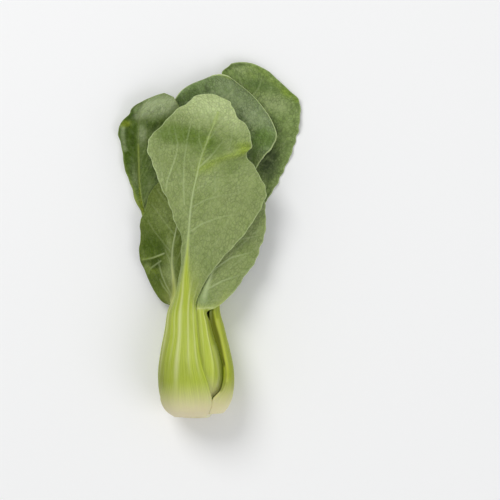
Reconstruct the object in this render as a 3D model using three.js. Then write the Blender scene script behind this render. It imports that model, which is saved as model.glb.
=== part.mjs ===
// A head of bok choy lying on its back: a cut stump and nine leaves grown round it.
// Millimetres, +Z up. The cut end points to -Y and the leaf tips to +Y.
// Outlines are drawn on a plan of the lying head, in units of UNIT mm:
// x to the right, y down towards the cut end.
import * as THREE from "three";

const UNIT = 0.57;
const PLAN_X = 209;
const PLAN_Y = 240;
const RIND = 0.9; // thickness of a blade between its veins
const MARGIN = 1.3; // thickness of a petiole at its margins, at the widest part of the bulb
const FLAT_LIFT = 0.8; // the bulb is pressed flat by this much where it rests
const WAVE_LENGTH = 19; // of the waves along a blade's margins
const NECK_SHARE = 0.3; // share of a blade's length over which its petiole thins out into it
const BASE_FLESH = 1.2; // a petiole's margins are this much thicker where they leave the stump
const BASE_REACH = 16; // and back to their own thickness this far from it
const RIDGE_START = 14; // a petiole's ridges rise from nothing here, past its base
const RIDGE_FULL = 44; // to their full height here
const RIB = { height: 0.5, width: 1.3, rise: 2.6, spread: 5 }; // at the tip, and what it gains by the neck

// Size of the bulb's section along the plan: 1 at its widest, where the outer radius is 22 mm.
const BULB = [
  [418.6, 0.4],
  [417.6, 0.5],
  [416, 0.61],
  [413, 0.72],
  [410, 0.79],
  [405, 0.87],
  [400, 0.925],
  [390, 0.98],
  [378, 1],
  [365, 0.975],
  [350, 0.898],
  [330, 0.78],
  [307, 0.653],
];
// The bulb's axis: plan y, plan x, height.
const AXIS = [
  [418, 195.8, 20.4],
  [378, 195.8, 20.8],
  [345, 195, 19.6],
  [307, 193.5, 17],
];

const BLADE_STEPS = 2; // rows of the mesh from one section of a blade to the next
const clamp = (x, a, b) => Math.min(b, Math.max(a, x));
const smooth = (a, b, x) => {
  const t = clamp((x - a) / (b - a), 0, 1);
  return t * t * (3 - 2 * t);
};

// Cubic through (knot, value) pairs with slopes from the neighbouring spans.
function curve(knots, values, x) {
  const n = knots.length;
  const dir = knots[n - 1] > knots[0] ? 1 : -1;
  let i = 0;
  while (i < n - 2 && dir * (x - knots[i + 1]) > 0) i++;
  const slope = (j) => {
    const a = Math.max(0, j - 1);
    const b = Math.min(n - 1, j + 1);
    if (a === j || b === j) return (values[b] - values[a]) / (knots[b] - knots[a]);
    const h0 = knots[j] - knots[a];
    const h1 = knots[b] - knots[j];
    return (((values[j] - values[a]) / h0) * h1 + ((values[b] - values[j]) / h1) * h0) / (h0 + h1);
  };
  const h = knots[i + 1] - knots[i];
  const t = clamp((x - knots[i]) / h, 0, 1);
  const t2 = t * t;
  const t3 = t2 * t;
  return (
    values[i] * (2 * t3 - 3 * t2 + 1) +
    slope(i) * h * (t3 - 2 * t2 + t) +
    values[i + 1] * (3 * t2 - 2 * t3) +
    slope(i + 1) * h * (t3 - t2)
  );
}
const column = (rows, c) => rows.map((r) => r[c]);
const table = (rows, c, x) => curve(column(rows, 0), column(rows, c), x);
const bulbScale = (y) => table(BULB, 1, y);
const toX = (x) => (x - PLAN_X) * UNIT;
const toY = (y) => (PLAN_Y - y) * UNIT;
const axisAt = (y) => new THREE.Vector3(toX(table(AXIS, 1, y)), toY(y), table(AXIS, 2, y));

// A petiole's section is an arc of its ring, from its +angle margin (u = -1) to its -angle margin (u = 1).
function petioleSection(leaf, [y, from, to]) {
  const k = bulbScale(y);
  const { shift, toward, radius, mid } = leaf.ring;
  const rad = Math.PI / 180;
  const centre = axisAt(y);
  centre.x += k * shift * Math.cos(toward * rad);
  centre.z += k * shift * Math.sin(toward * rad);
  return (u) => {
    const a = (u < 0 ? mid - u * (from - mid) : mid - u * (mid - to)) * rad;
    return centre.clone().add(new THREE.Vector3(k * radius * Math.cos(a), 0, k * radius * Math.sin(a)));
  };
}

// A blade's section goes through its left margin, midrib and right margin, and bends as a parabola.
function bladeSection(leaf, row) {
  const [l, m, r] = row.map(([x, y, z]) => new THREE.Vector3(toX(x), toY(y), z));
  const [first, last] = leaf.upperFaceUp ? [r, l] : [l, r];
  const across = last.clone().sub(first).normalize();
  return (u) => {
    const end = (u < 0 ? first : last).clone().sub(m);
    const side = across.clone().multiplyScalar(end.dot(across));
    const rest = end.sub(side);
    const s = Math.abs(u);
    return m.clone().addScaledVector(side, s).addScaledVector(rest, s * s);
  };
}

class Leaf {
  constructor(spec) {
    Object.assign(this, { wave: 1, phase: 0, ridges: [], trough: 0, lip: 0, petioleSteps: 1, ...spec });
    this.neck = this.petiole.length - 1;
    this.sections = [
      ...this.petiole.map((p) => petioleSection(this, p)),
      ...this.blade.map((b) => bladeSection(this, b)),
    ];
    this.knots = [0];
    for (let i = 1; i < this.sections.length; i++) {
      this.knots.push(this.knots[i - 1] + this.sections[i](0).distanceTo(this.sections[i - 1](0)));
    }
    this.length = this.knots.at(-1);
    this.neckAt = this.knots[this.neck];
    this.scales = this.petiole.map(([y]) => bulbScale(y));
  }

  // Share of the blade passed: below 0 on the petiole, 0 at the neck, 1 at the tip.
  share(v) {
    return (v - this.neckAt) / (this.length - this.neckAt);
  }

  // The bare surface, without waves or ribs.
  surface(u, v) {
    const points = this.sections.map((s) => s(u));
    const at = (c) => curve(this.knots, points.map((p) => p[c]), v);
    return new THREE.Vector3(at("x"), at("y"), at("z"));
  }

  normal(u, v) {
    const e = 0.02;
    const du = this.surface(Math.min(1, u + e), v).sub(this.surface(Math.max(-1, u - e), v));
    const dv = this.surface(u, Math.min(this.length, v + 0.6)).sub(this.surface(u, Math.max(0, v - 0.6)));
    return du.cross(dv).normalize();
  }

  scaleAt(v) {
    const n = this.neck + 1;
    return v >= this.neckAt ? this.scales[n - 1] : curve(this.knots.slice(0, n), this.scales, v);
  }

  // Height of the ridges along the petiole, each given as its place, half width and height.
  ridgeAt(u) {
    return this.ridges.reduce((sum, [at, wide, high]) => sum + high * Math.exp(-(((u - at) / wide) ** 2)), 0);
  }

  // Outer and inner point of the leaf at (u, v).
  pair(u, v) {
    const p = this.surface(u, v);
    const n = this.normal(u, v);
    const q = this.share(v);
    const s = Math.abs(u);
    const blade = smooth(0, NECK_SHARE, q);
    const petiole = 1 - smooth(0, NECK_SHARE + 0.05, q);
    const width = p.distanceTo(this.surface(0, v));
    const lip = this.lip * smooth(0.6, 1, -u) * smooth(0.5, 0.95, v / this.neckAt);
    const fleshy = BASE_FLESH * s * s * (1 - smooth(0, BASE_REACH, v)) + lip;
    const crescent = this.scaleAt(v) * (MARGIN + (this.thick - MARGIN) * (1 - s ** 1.3)) + fleshy;
    const left = clamp(1 - q, 0, 1);
    const ribWidth = RIB.width + RIB.spread * left ** 4;
    const rib = (RIB.height + RIB.rise * left ** 2.2) * Math.exp(-((width / ribWidth) ** 2));
    const ridge = this.ridgeAt(u) * petiole * smooth(RIDGE_START, RIDGE_FULL, v);
    const turn = (2 * Math.PI * v) / WAVE_LENGTH + this.phase + 1.7 * u;
    const wave = this.wave * s ** 2.2 * smooth(0.12, 0.4, q) * Math.sin(turn);
    const hollow = u > 0 ? this.trough * Math.sin(Math.PI * s) : 0;
    const shift = wave + hollow * smooth(0.3, 0.55, q) * (1 - smooth(0.9, 1, q));
    const outer = p.clone().addScaledVector(n, ridge + shift + 0.5 * blade * rib);
    const depth = (1 - blade) * crescent + blade * (RIND + 0.5 * rib);
    const inner = p.clone().addScaledVector(n, shift - depth);
    return [outer, inner];
  }

  // Rows of (u, v): closer together on the blade than on the petiole, and towards the midrib.
  grid() {
    const rows = [];
    for (let i = 0; i + 1 < this.knots.length; i++) {
      const steps = i < this.neck ? this.petioleSteps : BLADE_STEPS;
      const step = (this.knots[i + 1] - this.knots[i]) / steps;
      for (let j = 0; j < steps; j++) rows.push(this.knots[i] + j * step);
    }
    rows.push(this.length);
    const half = this.columns / 2;
    return rows.map((v) => {
      const power = 1 + 0.4 * smooth(0, NECK_SHARE, this.share(v));
      return Array.from({ length: this.columns + 1 }, (_, c) => {
        const a = (c - half) / half;
        return [Math.sign(a) * Math.abs(a) ** power, v];
      });
    });
  }

  geometry() {
    const grid = this.grid();
    const rows = grid.length;
    const cols = this.columns + 1;
    const faces = [[], []];
    for (const row of grid) {
      for (const [u, v] of row) {
        const [outer, inner] = this.pair(u, v);
        if (this.restsOn) outer.z = Math.max(outer.z, this.restsOn);
        faces[0].push(outer.x, outer.y, outer.z);
        faces[1].push(inner.x, inner.y, inner.z);
      }
    }
    const index = [];
    const under = rows * cols;
    const quad = (a, b, c, d) => index.push(a, b, c, a, c, d);
    for (let r = 0; r + 1 < rows; r++) {
      for (let c = 0; c + 1 < cols; c++) {
        const a = r * cols + c;
        quad(a, a + 1, a + cols + 1, a + cols);
        index.push(under + a, under + a + cols + 1, under + a + 1);
        index.push(under + a, under + a + cols, under + a + cols + 1);
      }
    }
    for (let r = 0; r + 1 < rows; r++) {
      const a = r * cols;
      const b = a + cols - 1;
      quad(a, a + cols, under + a + cols, under + a);
      quad(b, under + b, under + b + cols, b + cols);
    }
    for (let c = 0; c + 1 < cols; c++) {
      const b = (rows - 1) * cols + c;
      quad(c, under + c, under + c + 1, c + 1);
      quad(b, b + 1, under + b + 1, under + b);
    }
    const g = new THREE.BufferGeometry();
    g.setAttribute("position", new THREE.Float32BufferAttribute([...faces[0], ...faces[1]], 3));
    g.setIndex(index);
    return g;
  }
}

const OUTER_BASE = 417;
const LEAVES = [
  {
    name: "leaf_front",
    ring: { shift: 2, toward: 291, radius: 24, mid: 111 },
    thick: 4.8,
    columns: 20,
    petioleSteps: 2,
    ridges: [[-0.6, 0.09, 0.3], [-0.2, 0.13, 0.5], [0.4, 0.09, 0.4], [0.8, 0.07, 0.35]],
    phase: 0.6,
    petiole: [
      [OUTER_BASE, 161, 66],
      [410, 161, 66],
      [400, 160, 66.5],
      [385, 146.5, 72.5],
      [365, 143, 81],
      [335, 139.4, 85.5],
      [310, 145, 86],
    ],
    blade: [
      [[175, 297, 27], [185, 297, 31], [196.5, 303, 28.7]],
      [[178, 281, 27.5], [186, 277, 31], [205, 283, 28.5]],
      [[181, 261, 28.5], [187.5, 255, 31], [220, 262, 28]],
      [[181, 240, 28.5], [189, 232, 30.5], [243, 236, 27]],
      [[173.5, 217, 27], [191, 208, 30], [262, 207, 25]],
      [[164.5, 195, 26], [194, 189, 29.5], [266, 188, 24]],
      [[157.5, 177, 25.5], [197.5, 174, 29], [258.5, 173, 23.5]],
      [[151.5, 163, 25.5], [200, 162, 28.8], [251.5, 163, 23.3]],
      [[147.8, 151, 25.5], [203, 152.5, 28.5], [246.5, 155, 24.6]],
      [[148.5, 142, 25.5], [206.5, 144, 28.3], [251.5, 149, 27.2]],
      [[153, 133, 25.5], [210, 134, 28], [250.6, 137, 27.6]],
      [[162, 125, 25.2], [213.5, 126, 27.7], [247, 126, 26.8]],
      [[171, 115.5, 24.7], [216.5, 117, 26.8], [238.5, 117, 25.8]],
      [[181, 106.5, 24], [216, 108, 25.6], [233, 108, 24.6]],
      [[187.8, 102, 23.2], [212, 100.5, 24.2], [229.8, 102.3, 23.8]],
      [[193.4, 96.8, 22.4], [208.3, 93.6, 22.8], [221.3, 97.2, 22.6]],
    ],
  },
  {
    name: "leaf_left_lower",
    ring: { shift: 2.6, toward: 240, radius: 20.2, mid: 190 },
    thick: 4.8,
    columns: 14,
    ridges: [[-0.7, 0.1, 0.35], [-0.3, 0.1, 0.35], [0.2, 0.1, 0.35], [0.64, 0.09, 0.4]],
    phase: 2.1,
    petiole: [
      [OUTER_BASE, 238, 160.5],
      [408, 239, 160.5],
      [397, 238, 155],
      [378, 238, 142],
      [350, 236, 140],
      [330, 234, 140],
      [310, 232, 140],
    ],
    blade: [
      [[160.6, 301.5, 9.5], [174.4, 294, 18.1], [180, 296, 23.8]],
      [[150.4, 286, 8], [174, 280, 19.5], [184, 280, 24]],
      [[141.2, 266, 7.5], [172.5, 264, 21], [188, 262, 24.5]],
      [[138.1, 247, 8], [173, 248, 22], [193, 244, 24.5]],
      [[139, 230, 9], [176, 231, 22.5], [199, 224, 24]],
      [[142.5, 213, 10.5], [180.5, 211, 22.5], [203, 204, 23.5]],
      [[148, 197, 12.5], [184, 194, 21.5], [202, 188, 22.5]],
      [[158, 182, 14.5], [186, 180, 20.5], [198, 174, 21]],
      [[172, 169, 16.5], [187, 168, 19], [195, 166, 19.5]],
      [[182, 163, 17.5], [187.5, 161, 18], [191, 162, 18]],
    ],
  },
  {
    name: "leaf_left_back",
    ring: { shift: 0, toward: 0, radius: 15.2, mid: 213 },
    thick: 3.6,
    columns: 12,
    upperFaceUp: true,
    trough: 4.6,
    restsOn: FLAT_LIFT,
    phase: 0.3,
    petiole: [
      [402, 255, 176],
      [390, 255, 172],
      [370, 255, 172],
      [340, 255, 176],
      [310, 255, 186],
    ],
    blade: [
      [[178, 293, 12.5], [181, 290, 9.5], [188, 292, 7]],
      [[167, 272, 8], [172, 268, 7.5], [182, 268, 7.5]],
      [[152, 247, 4.5], [157, 242, 6.5], [170, 240, 8.5]],
      [[141.2, 217, 3.5], [147, 217, 6], [166, 214, 10]],
      [[135.8, 198.5, 3.5], [141.2, 197, 6], [172, 190, 11]],
      [[127.4, 179, 3.5], [139, 178, 6], [180, 168, 12]],
      [[122.9, 158, 3.5], [138.3, 158, 6.5], [186, 148, 12.5]],
      [[119, 140, 4], [138, 142, 7], [187, 130, 13]],
      [[117.9, 129, 4.8], [138, 130, 7.6], [185, 119, 13.3]],
      [[121.3, 120, 6.2], [138.5, 120, 8.4], [181, 109, 13.5]],
      [[129, 113, 7.8], [141, 109.5, 9.6], [175.6, 99.2, 13.5]],
      [[133.3, 105.8, 9], [147, 101.8, 10.8], [171.2, 95.3, 13.3]],
      [[141, 101.6, 10], [152.5, 95.8, 11.6], [163.5, 92.4, 12.8]],
    ],
  },
  {
    name: "leaf_centre_back",
    ring: { shift: 0, toward: 0, radius: 15.2, mid: 303 },
    thick: 3.6,
    columns: 12,
    upperFaceUp: true,
    phase: 1.2,
    petiole: [
      [402, 345, 262],
      [390, 345, 262],
      [370, 345, 262],
      [340, 345, 262],
      [310, 345, 262],
    ],
    blade: [
      [[190, 293, 7], [203, 293, 8], [213, 294, 12]],
      [[187, 268, 7], [204, 268, 7.5], [221, 272, 9.5]],
      [[183, 236, 7], [207, 236, 7.5], [233, 240, 9]],
      [[178, 204, 7], [211, 204, 7.5], [243, 210, 9]],
      [[172, 172, 7.5], [215, 172, 8], [249.5, 181, 9]],
      [[169, 145, 8], [218, 146, 8], [261.5, 160, 10]],
      [[168, 125, 8], [220, 124, 8.5], [274, 144, 11.5]],
      [[171, 108, 8], [221.5, 104, 9], [275.8, 128, 12.5]],
      [[177.3, 93.6, 9], [222, 90, 10], [262, 105.5, 12.5]],
      [[189.6, 83.8, 9.5], [222, 80, 10.5], [247, 89, 12.5]],
      [[205, 78, 10], [219, 73.2, 11], [231.5, 76.8, 12]],
    ],
  },
  {
    name: "leaf_top_back",
    ring: { shift: 4.8, toward: 268, radius: 16, mid: 268 },
    thick: 4.8,
    columns: 12,
    petioleSteps: 2,
    upperFaceUp: true,
    ridges: [[-0.5, 0.1, 0.4], [0, 0.1, 0.4], [0.5, 0.1, 0.4]],
    restsOn: FLAT_LIFT,
    phase: 2.6,
    petiole: [
      [OUTER_BASE, 305, 239.3],
      [408, 308, 233],
      [395, 315, 219],
      [378, 315, 219],
      [350, 315, 219],
      [330, 315, 219],
      [310, 315, 219],
    ],
    blade: [
      [[181, 292, 5.5], [195, 292, 3.2], [209, 293, 4.5]],
      [[186, 265, 3], [200, 266, 2.2], [220, 268, 3]],
      [[192, 232, 2], [210, 235, 1.8], [240, 240, 2]],
      [[200, 195, 1], [222, 200, 1.8], [262, 208, 1]],
      [[208, 160, 1], [233, 166, 2], [281, 176, 0.5]],
      [[214, 128, 1.5], [241, 134, 2.2], [294, 146, 1]],
      [[217, 102, 2.5], [247, 106, 3], [300, 120, 2]],
      [[219, 84, 3.5], [250, 86, 4], [298.8, 98, 3.5]],
      [[222.6, 70.2, 5], [250, 72.5, 5], [285.8, 85.5, 4.5]],
      [[231.3, 62, 5.5], [249, 61.4, 6], [269.5, 70.6, 5.5]],
    ],
  },
  {
    name: "leaf_right_outer",
    ring: { shift: 0.5, toward: 345, radius: 21.5, mid: -15 },
    thick: 4.8,
    columns: 14,
    ridges: [[-0.86, 0.07, 0.35], [-0.5, 0.09, 0.3], [-0.1, 0.1, 0.35], [0.4, 0.1, 0.35]],
    lip: 1.2,
    phase: 0.9,
    petiole: [
      [413.4, 62.4, -58],
      [408, 62.8, -58],
      [398, 62, -58],
      [391, 49.5, -58],
      [384, 44.3, -58],
      [371, 40.5, -58],
      [351, 42.5, -58],
      [337, 49, -58],
      [325, 51.5, -58],
      [310, 47.5, -58],
    ],
    blade: [
      [[214, 297, 21.5], [221, 294, 15], [216, 296, 8]],
      [[218, 280, 21.5], [230, 276, 18], [230, 280, 10]],
      [[224, 258, 20.5], [239, 254, 19], [250, 262, 11]],
      [[229, 235, 19.5], [245, 232, 19], [262, 238, 12]],
      [[233, 212, 18.5], [248, 210, 18], [263, 213, 13]],
      [[238, 192, 17.5], [249, 190, 17], [258, 192, 14]],
      [[244, 178, 16], [248, 176, 16], [252, 178, 15]],
    ],
  },
  {
    name: "leaf_right_inner",
    ring: { shift: 0, toward: 0, radius: 17.3, mid: 66 },
    thick: 4,
    columns: 14,
    ridges: [[-0.5, 0.09, 0.25], [-0.15, 0.09, 0.3], [0.28, 0.08, 0.4]],
    phase: 1.9,
    petiole: [
      [402, 96, 58],
      [397, 96, 54],
      [391, 96, 38],
      [384, 96, 28],
      [370, 96, 19],
      [352, 97, 24],
      [337, 98, 34.5],
      [323, 99, 38],
      [312, 100, 47.5],
    ],
    blade: [
      [[193, 306.5, 27.2], [202, 306, 27.8], [213, 308.8, 28.8]],
      [[193, 301, 26.8], [203.5, 300, 27.4], [220.5, 304.5, 26.6]],
      [[194, 294, 26.3], [205.5, 292, 26.9], [229, 297, 25]],
      [[197, 281, 25.5], [210, 277, 26], [238, 287, 22]],
      [[199, 270, 25], [214, 266, 25.2], [245, 277, 20]],
      [[206, 248, 24], [223, 244, 24], [258, 256, 18]],
      [[213, 225, 23], [232, 222, 23], [265, 232, 17.5]],
      [[220, 203, 22], [239, 202, 21.5], [266, 208, 18]],
      [[227, 186, 21], [244, 186, 20.5], [261, 190, 18.5]],
      [[237, 174, 19.5], [243, 172, 19.5], [250, 175, 19]],
    ],
  },
  {
    name: "leaf_heart_front",
    ring: { shift: 0, toward: 0, radius: 10.6, mid: 90 },
    thick: 2.8,
    columns: 8,
    wave: 0.6,
    petiole: [
      [393, 145, 35],
      [370, 145, 35],
      [340, 145, 35],
      [310, 145, 35],
    ],
    blade: [
      [[184, 290, 20], [195, 289, 21.5], [206, 290, 20]],
      [[182, 265, 17.5], [197, 263, 19], [212, 266, 17.5]],
      [[184, 240, 16], [200, 238, 17], [216, 242, 15.5]],
      [[194, 218, 15], [201, 214, 15.5], [208, 219, 15]],
    ],
  },
  {
    name: "leaf_heart_back",
    ring: { shift: 0, toward: 0, radius: 10.6, mid: 260 },
    thick: 2.8,
    columns: 8,
    upperFaceUp: true,
    wave: 0.6,
    petiole: [
      [393, 325, 195],
      [370, 325, 195],
      [340, 325, 195],
      [310, 325, 195],
    ],
    blade: [
      [[184, 288, 14], [194, 288, 11.5], [204, 289, 13]],
      [[185, 262, 12.5], [197, 262, 11.5], [210, 263, 12.5]],
      [[193, 240, 12], [198, 238, 12], [203, 240, 12]],
    ],
  },
];

// The stump's profile: plan y and radius, from the cut face to the growing point.
const STUMP = [
  [417.6, 7],
  [416.9, 7.7],
  [414.8, 8.8],
  [411, 10.7],
  [407, 12.1],
  [403.6, 13],
  [402.9, 12.4],
  [402.7, 9.6],
  [395, 9.2],
  [393.9, 8.6],
  [393.6, 5.8],
  [380, 4.5],
  [367, 1.5],
];

const STUMP_SIDES = 28;

function stump() {
  const sides = STUMP_SIDES;
  const positions = [];
  for (const [y, r] of STUMP) {
    const c = axisAt(y);
    for (let i = 0; i < sides; i++) {
      const a = (i / sides) * 2 * Math.PI;
      positions.push(c.x + r * Math.cos(a), c.y, c.z + r * Math.sin(a));
    }
  }
  const ends = [axisAt(STUMP[0][0]), axisAt(STUMP.at(-1)[0])];
  ends.forEach((e) => positions.push(e.x, e.y, e.z));
  const index = [];
  const last = (STUMP.length - 1) * sides;
  for (let i = 0; i < sides; i++) {
    const j = (i + 1) % sides;
    for (let r = 0; r + 1 < STUMP.length; r++) {
      const a = r * sides;
      index.push(a + i, a + sides + j, a + j);
      index.push(a + i, a + sides + i, a + sides + j);
    }
    index.push(last + sides, i, j);
    index.push(last + sides + 1, last + j, last + i);
  }
  const g = new THREE.BufferGeometry();
  g.setAttribute("position", new THREE.Float32BufferAttribute(positions, 3));
  g.setIndex(index);
  return g;
}

const group = new THREE.Group();
function add(name, geometry, color) {
  const mesh = new THREE.Mesh(geometry, new THREE.MeshStandardMaterial({ color, roughness: 0.6 }));
  mesh.name = name;
  group.add(mesh);
}
add("stump", stump(), 0xd8d2a8);
for (const spec of LEAVES) {
  const leaf = new Leaf(spec);
  add(leaf.name, leaf.geometry(), leaf.upperFaceUp ? 0x5f7a3c : 0x8fa45c);
}

// The origin is the middle of the footprint, on the surface the head lies on.
const box = new THREE.Box3().setFromObject(group);
const home = box.getCenter(new THREE.Vector3()).setZ(box.min.z).negate();
group.children.forEach((mesh) => mesh.geometry.translate(home.x, home.y, home.z));

export default group;
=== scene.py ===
"""A head of bok choy lying on its back, in a plain studio.

Nine leaves grow round a cut stump. Every leaf is one surface lofted through a few sections: arcs of the bulb
along its stem, then the left margin, midrib and right margin of its blade. Sizes are in millimetres on a plan
of the lying head and become metres when a mesh is made.
"""

import logging
import math
from collections.abc import Iterable, Sequence
from dataclasses import dataclass, field, fields
from enum import Enum
from typing import ClassVar

import bpy
import numpy as np
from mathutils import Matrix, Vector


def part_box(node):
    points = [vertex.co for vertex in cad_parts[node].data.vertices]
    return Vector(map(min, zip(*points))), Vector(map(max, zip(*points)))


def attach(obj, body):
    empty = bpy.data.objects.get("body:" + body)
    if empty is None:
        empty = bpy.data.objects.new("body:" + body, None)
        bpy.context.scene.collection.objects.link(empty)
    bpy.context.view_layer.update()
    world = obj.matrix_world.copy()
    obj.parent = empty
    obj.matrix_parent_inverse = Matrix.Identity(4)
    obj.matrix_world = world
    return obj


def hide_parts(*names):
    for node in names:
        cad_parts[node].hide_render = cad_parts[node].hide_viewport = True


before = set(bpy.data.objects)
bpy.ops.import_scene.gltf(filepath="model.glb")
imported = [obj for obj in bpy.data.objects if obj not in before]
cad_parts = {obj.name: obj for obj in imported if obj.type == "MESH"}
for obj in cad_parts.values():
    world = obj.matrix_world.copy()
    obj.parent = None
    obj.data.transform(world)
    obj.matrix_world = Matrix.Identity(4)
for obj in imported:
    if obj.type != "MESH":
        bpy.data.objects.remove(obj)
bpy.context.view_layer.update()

log = logging.getLogger("bok_choy")

Array = np.ndarray
Point2 = tuple[float, float]
Point3 = tuple[float, float, float]
Socket = bpy.types.NodeSocket
Colour = tuple[float, float, float, float]

METRE = 0.001  # one millimetre in metres
RIND = 0.9  # thickness of a blade between its veins
MARGIN = 1.3  # thickness of a stem at its margins, at the widest part of the bulb
FLAT_LIFT = 0.8  # the bulb is pressed flat by this much where it rests
WAVE_LENGTH = 19.0  # length of the waves along a blade's margin
IMAGE_SIDE = 500  # side of the camera's square frame, in plan units
OUTER_BASE = 417.0  # plan y where the outer stems are cut
CELL_SCALE = 0.54  # cells of a blade's net over each mm of its skin


def smooth(low: float, high: float, x: Array) -> Array:
    """A smooth step.

    Args:
        low: Where the step starts.
        high: Where it ends.
        x: The values to step.

    Returns:
        0 below low, 1 above high, and an S between them.
    """
    t = np.clip((x - low) / (high - low), 0.0, 1.0)
    return t * t * (3.0 - 2.0 * t)


def curve(knots: Array, values: Array, x: Array) -> Array:
    """A cubic through values at rising knots, with slopes from the neighbouring spans.

    Args:
        knots: Rising positions, one per value.
        values: Numbers or vectors, knots along the first axis.
        x: Where to read the curve.

    Returns:
        The values at x, x along the first axis.
    """
    knots = np.asarray(knots, float)
    values = np.asarray(values, float)
    x = np.atleast_1d(np.asarray(x, float))
    span = np.diff(knots)
    wide = span.reshape((-1,) + (1,) * (values.ndim - 1))
    slope = np.diff(values, axis=0) / wide
    inner = (slope[:-1] * wide[1:] + slope[1:] * wide[:-1]) / (wide[:-1] + wide[1:])
    slopes = np.concatenate([slope[:1], inner, slope[-1:]])
    i = np.clip(np.searchsorted(knots, x, side="left") - 1, 0, len(knots) - 2)
    tall = (-1,) + (1,) * (values.ndim - 1)
    h = span[i].reshape(tall)
    t = np.clip((x - knots[i]) / span[i], 0.0, 1.0).reshape(tall)
    t2, t3 = t * t, t * t * t
    return (
        values[i] * (2 * t3 - 3 * t2 + 1)
        + slopes[i] * h * (t3 - 2 * t2 + t)
        + values[i + 1] * (3 * t2 - 2 * t3)
        + slopes[i + 1] * h * (t3 - t2)
    )


def linear(colour: str) -> Colour:
    """An sRGB colour such as #8fa45c as linear red, green, blue and an alpha of 1.

    Args:
        colour: The colour.

    Returns:
        Its linear parts.
    """
    parts = [int(colour[i : i + 2], 16) / 255 for i in (1, 3, 5)]
    bent = [c / 12.92 if c <= 0.04045 else ((c + 0.055) / 1.055) ** 2.4 for c in parts]
    return (bent[0], bent[1], bent[2], 1.0)


@dataclass(frozen=True)
class Plan:
    """The plan of the lying head, with x to the right and y down towards the cut end.

    Attributes:
        unit: One plan unit in mm.
        middle: The plan place that the sizes in mm are counted from.
    """

    unit: float = 0.57
    middle: Point2 = (209.0, 240.0)

    def mm(self, x: Array, y: Array) -> tuple[Array, Array]:
        """A plan place in millimetres from the plan's middle, before it is set home in the frame."""
        return (x - self.middle[0]) * self.unit, (self.middle[1] - y) * self.unit

    def point(self, place: Point3) -> Array:
        """A plan place with its height, in millimetres."""
        x, y = self.mm(place[0], place[1])
        return np.array([x, y, place[2]])


PLAN = Plan()


@dataclass(frozen=True)
class Bulb:
    """The bulb that the stems form: its size and its axis along the plan.

    Attributes:
        girth: Plan y and the size of the section, 1 where the outer radius is 22 mm.
        axis: Plan y, plan x and height of the middle line.
    """

    girth: tuple[Point2, ...] = (
        (418.6, 0.4),
        (417.6, 0.5),
        (416, 0.61),
        (413, 0.72),
        (410, 0.79),
        (405, 0.87),
        (400, 0.925),
        (390, 0.98),
        (378, 1.0),
        (365, 0.975),
        (350, 0.898),
        (330, 0.78),
        (307, 0.653),
    )
    axis: tuple[Point3, ...] = (
        (418, 195.8, 20.4),
        (378, 195.8, 20.8),
        (345, 195, 19.6),
        (307, 193.5, 17),
    )

    def scale(self, y: float) -> float:
        """The size of the section at plan y."""
        rows = np.array(self.girth, float)
        return float(curve(-rows[:, 0], rows[:, 1], -y)[0])

    def middle(self, y: float) -> Array:
        """The axis at plan y, in millimetres.

        Args:
            y: The plan y.

        Returns:
            The place, in mm.
        """
        rows = np.array(self.axis, float)
        x, z = curve(-rows[:, 0], rows[:, 1:], -y)[0]
        return PLAN.point((x, y, z))


BULB = Bulb()


def line_distance(line: tuple[Point2, ...], x: Array, y: Array) -> tuple[Array, Array]:
    """How places lie beside a line drawn on the plan.

    Args:
        line: The line's plan places.
        x: Places along X, in mm.
        y: Places along Y, in mm.

    Returns:
        Each place's distance to the line in mm, and the share of the line passed there.
    """
    points = np.array([PLAN.mm(*place) for place in line])
    best, part = np.full(x.shape, np.inf), np.zeros(x.shape)
    for i, (a, b) in enumerate(zip(points[:-1], points[1:])):
        d = b - a
        t = np.clip(((x - a[0]) * d[0] + (y - a[1]) * d[1]) / (d @ d), 0, 1)
        away = np.hypot(x - a[0] - t * d[0], y - a[1] - t * d[1])
        part = np.where(away < best, (i + t) / (len(points) - 1), part)
        best = np.minimum(best, away)
    return best, part


class Turn(Enum):
    """Which face of a blade looks up, and so which margin the rising side of u is."""

    BACK_UP = 1
    FACE_UP = -1


@dataclass(frozen=True)
class Ring:
    """The circle that a stem's outer face lies on, at the bulb's widest.

    Attributes:
        radius: Radius in mm.
        mid: Direction of the stem's middle, in degrees from +X towards +Z.
        shift: How far the circle's centre is from the axis, in mm.
        toward: The direction of that shift, in degrees.
    """

    radius: float
    mid: float
    shift: float = 0.0
    toward: float = 0.0


@dataclass(frozen=True)
class Ridge:
    """A lengthwise ridge on a stem.

    Attributes:
        at: Its place across the stem, -1 to 1.
        width: Its half width, as a share of half the stem.
        height: Its height in mm.
        start: How far along the stem it rises, in mm from the base.
    """

    at: float
    width: float = 0.1
    height: float = 0.4
    start: float = 34.0

    def rise(self, u: Array, v: Array) -> Array:
        """The ridge's height at places across and along the stem."""
        crest = self.height * np.exp(-(((u - self.at) / self.width) ** 2))
        return crest * smooth(self.start - 20, self.start + 8, v)


@dataclass(frozen=True)
class Fold:
    """A fold that runs over a blade, higher towards the end of its line.

    Attributes:
        line: Its plan places, from its faint end to its strong end.
        height: Its height at the strong end in mm, below 0 for a valley.
        width: Its half width in mm.
    """

    line: tuple[Point2, ...]
    height: float
    width: float

    def rise(self, x: Array, y: Array) -> Array:
        """The fold's height at places in mm."""
        away, part = line_distance(self.line, x, y)
        return self.height * part**0.7 * np.exp(-((away / self.width) ** 2))


@dataclass(frozen=True)
class Vein:
    """A side vein, fainter towards the end of its line.

    Attributes:
        line: Its plan places, from the midrib outwards.
        share: Its strength at the first place.
    """

    line: tuple[Point2, ...]
    share: float = 1.0


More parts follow.
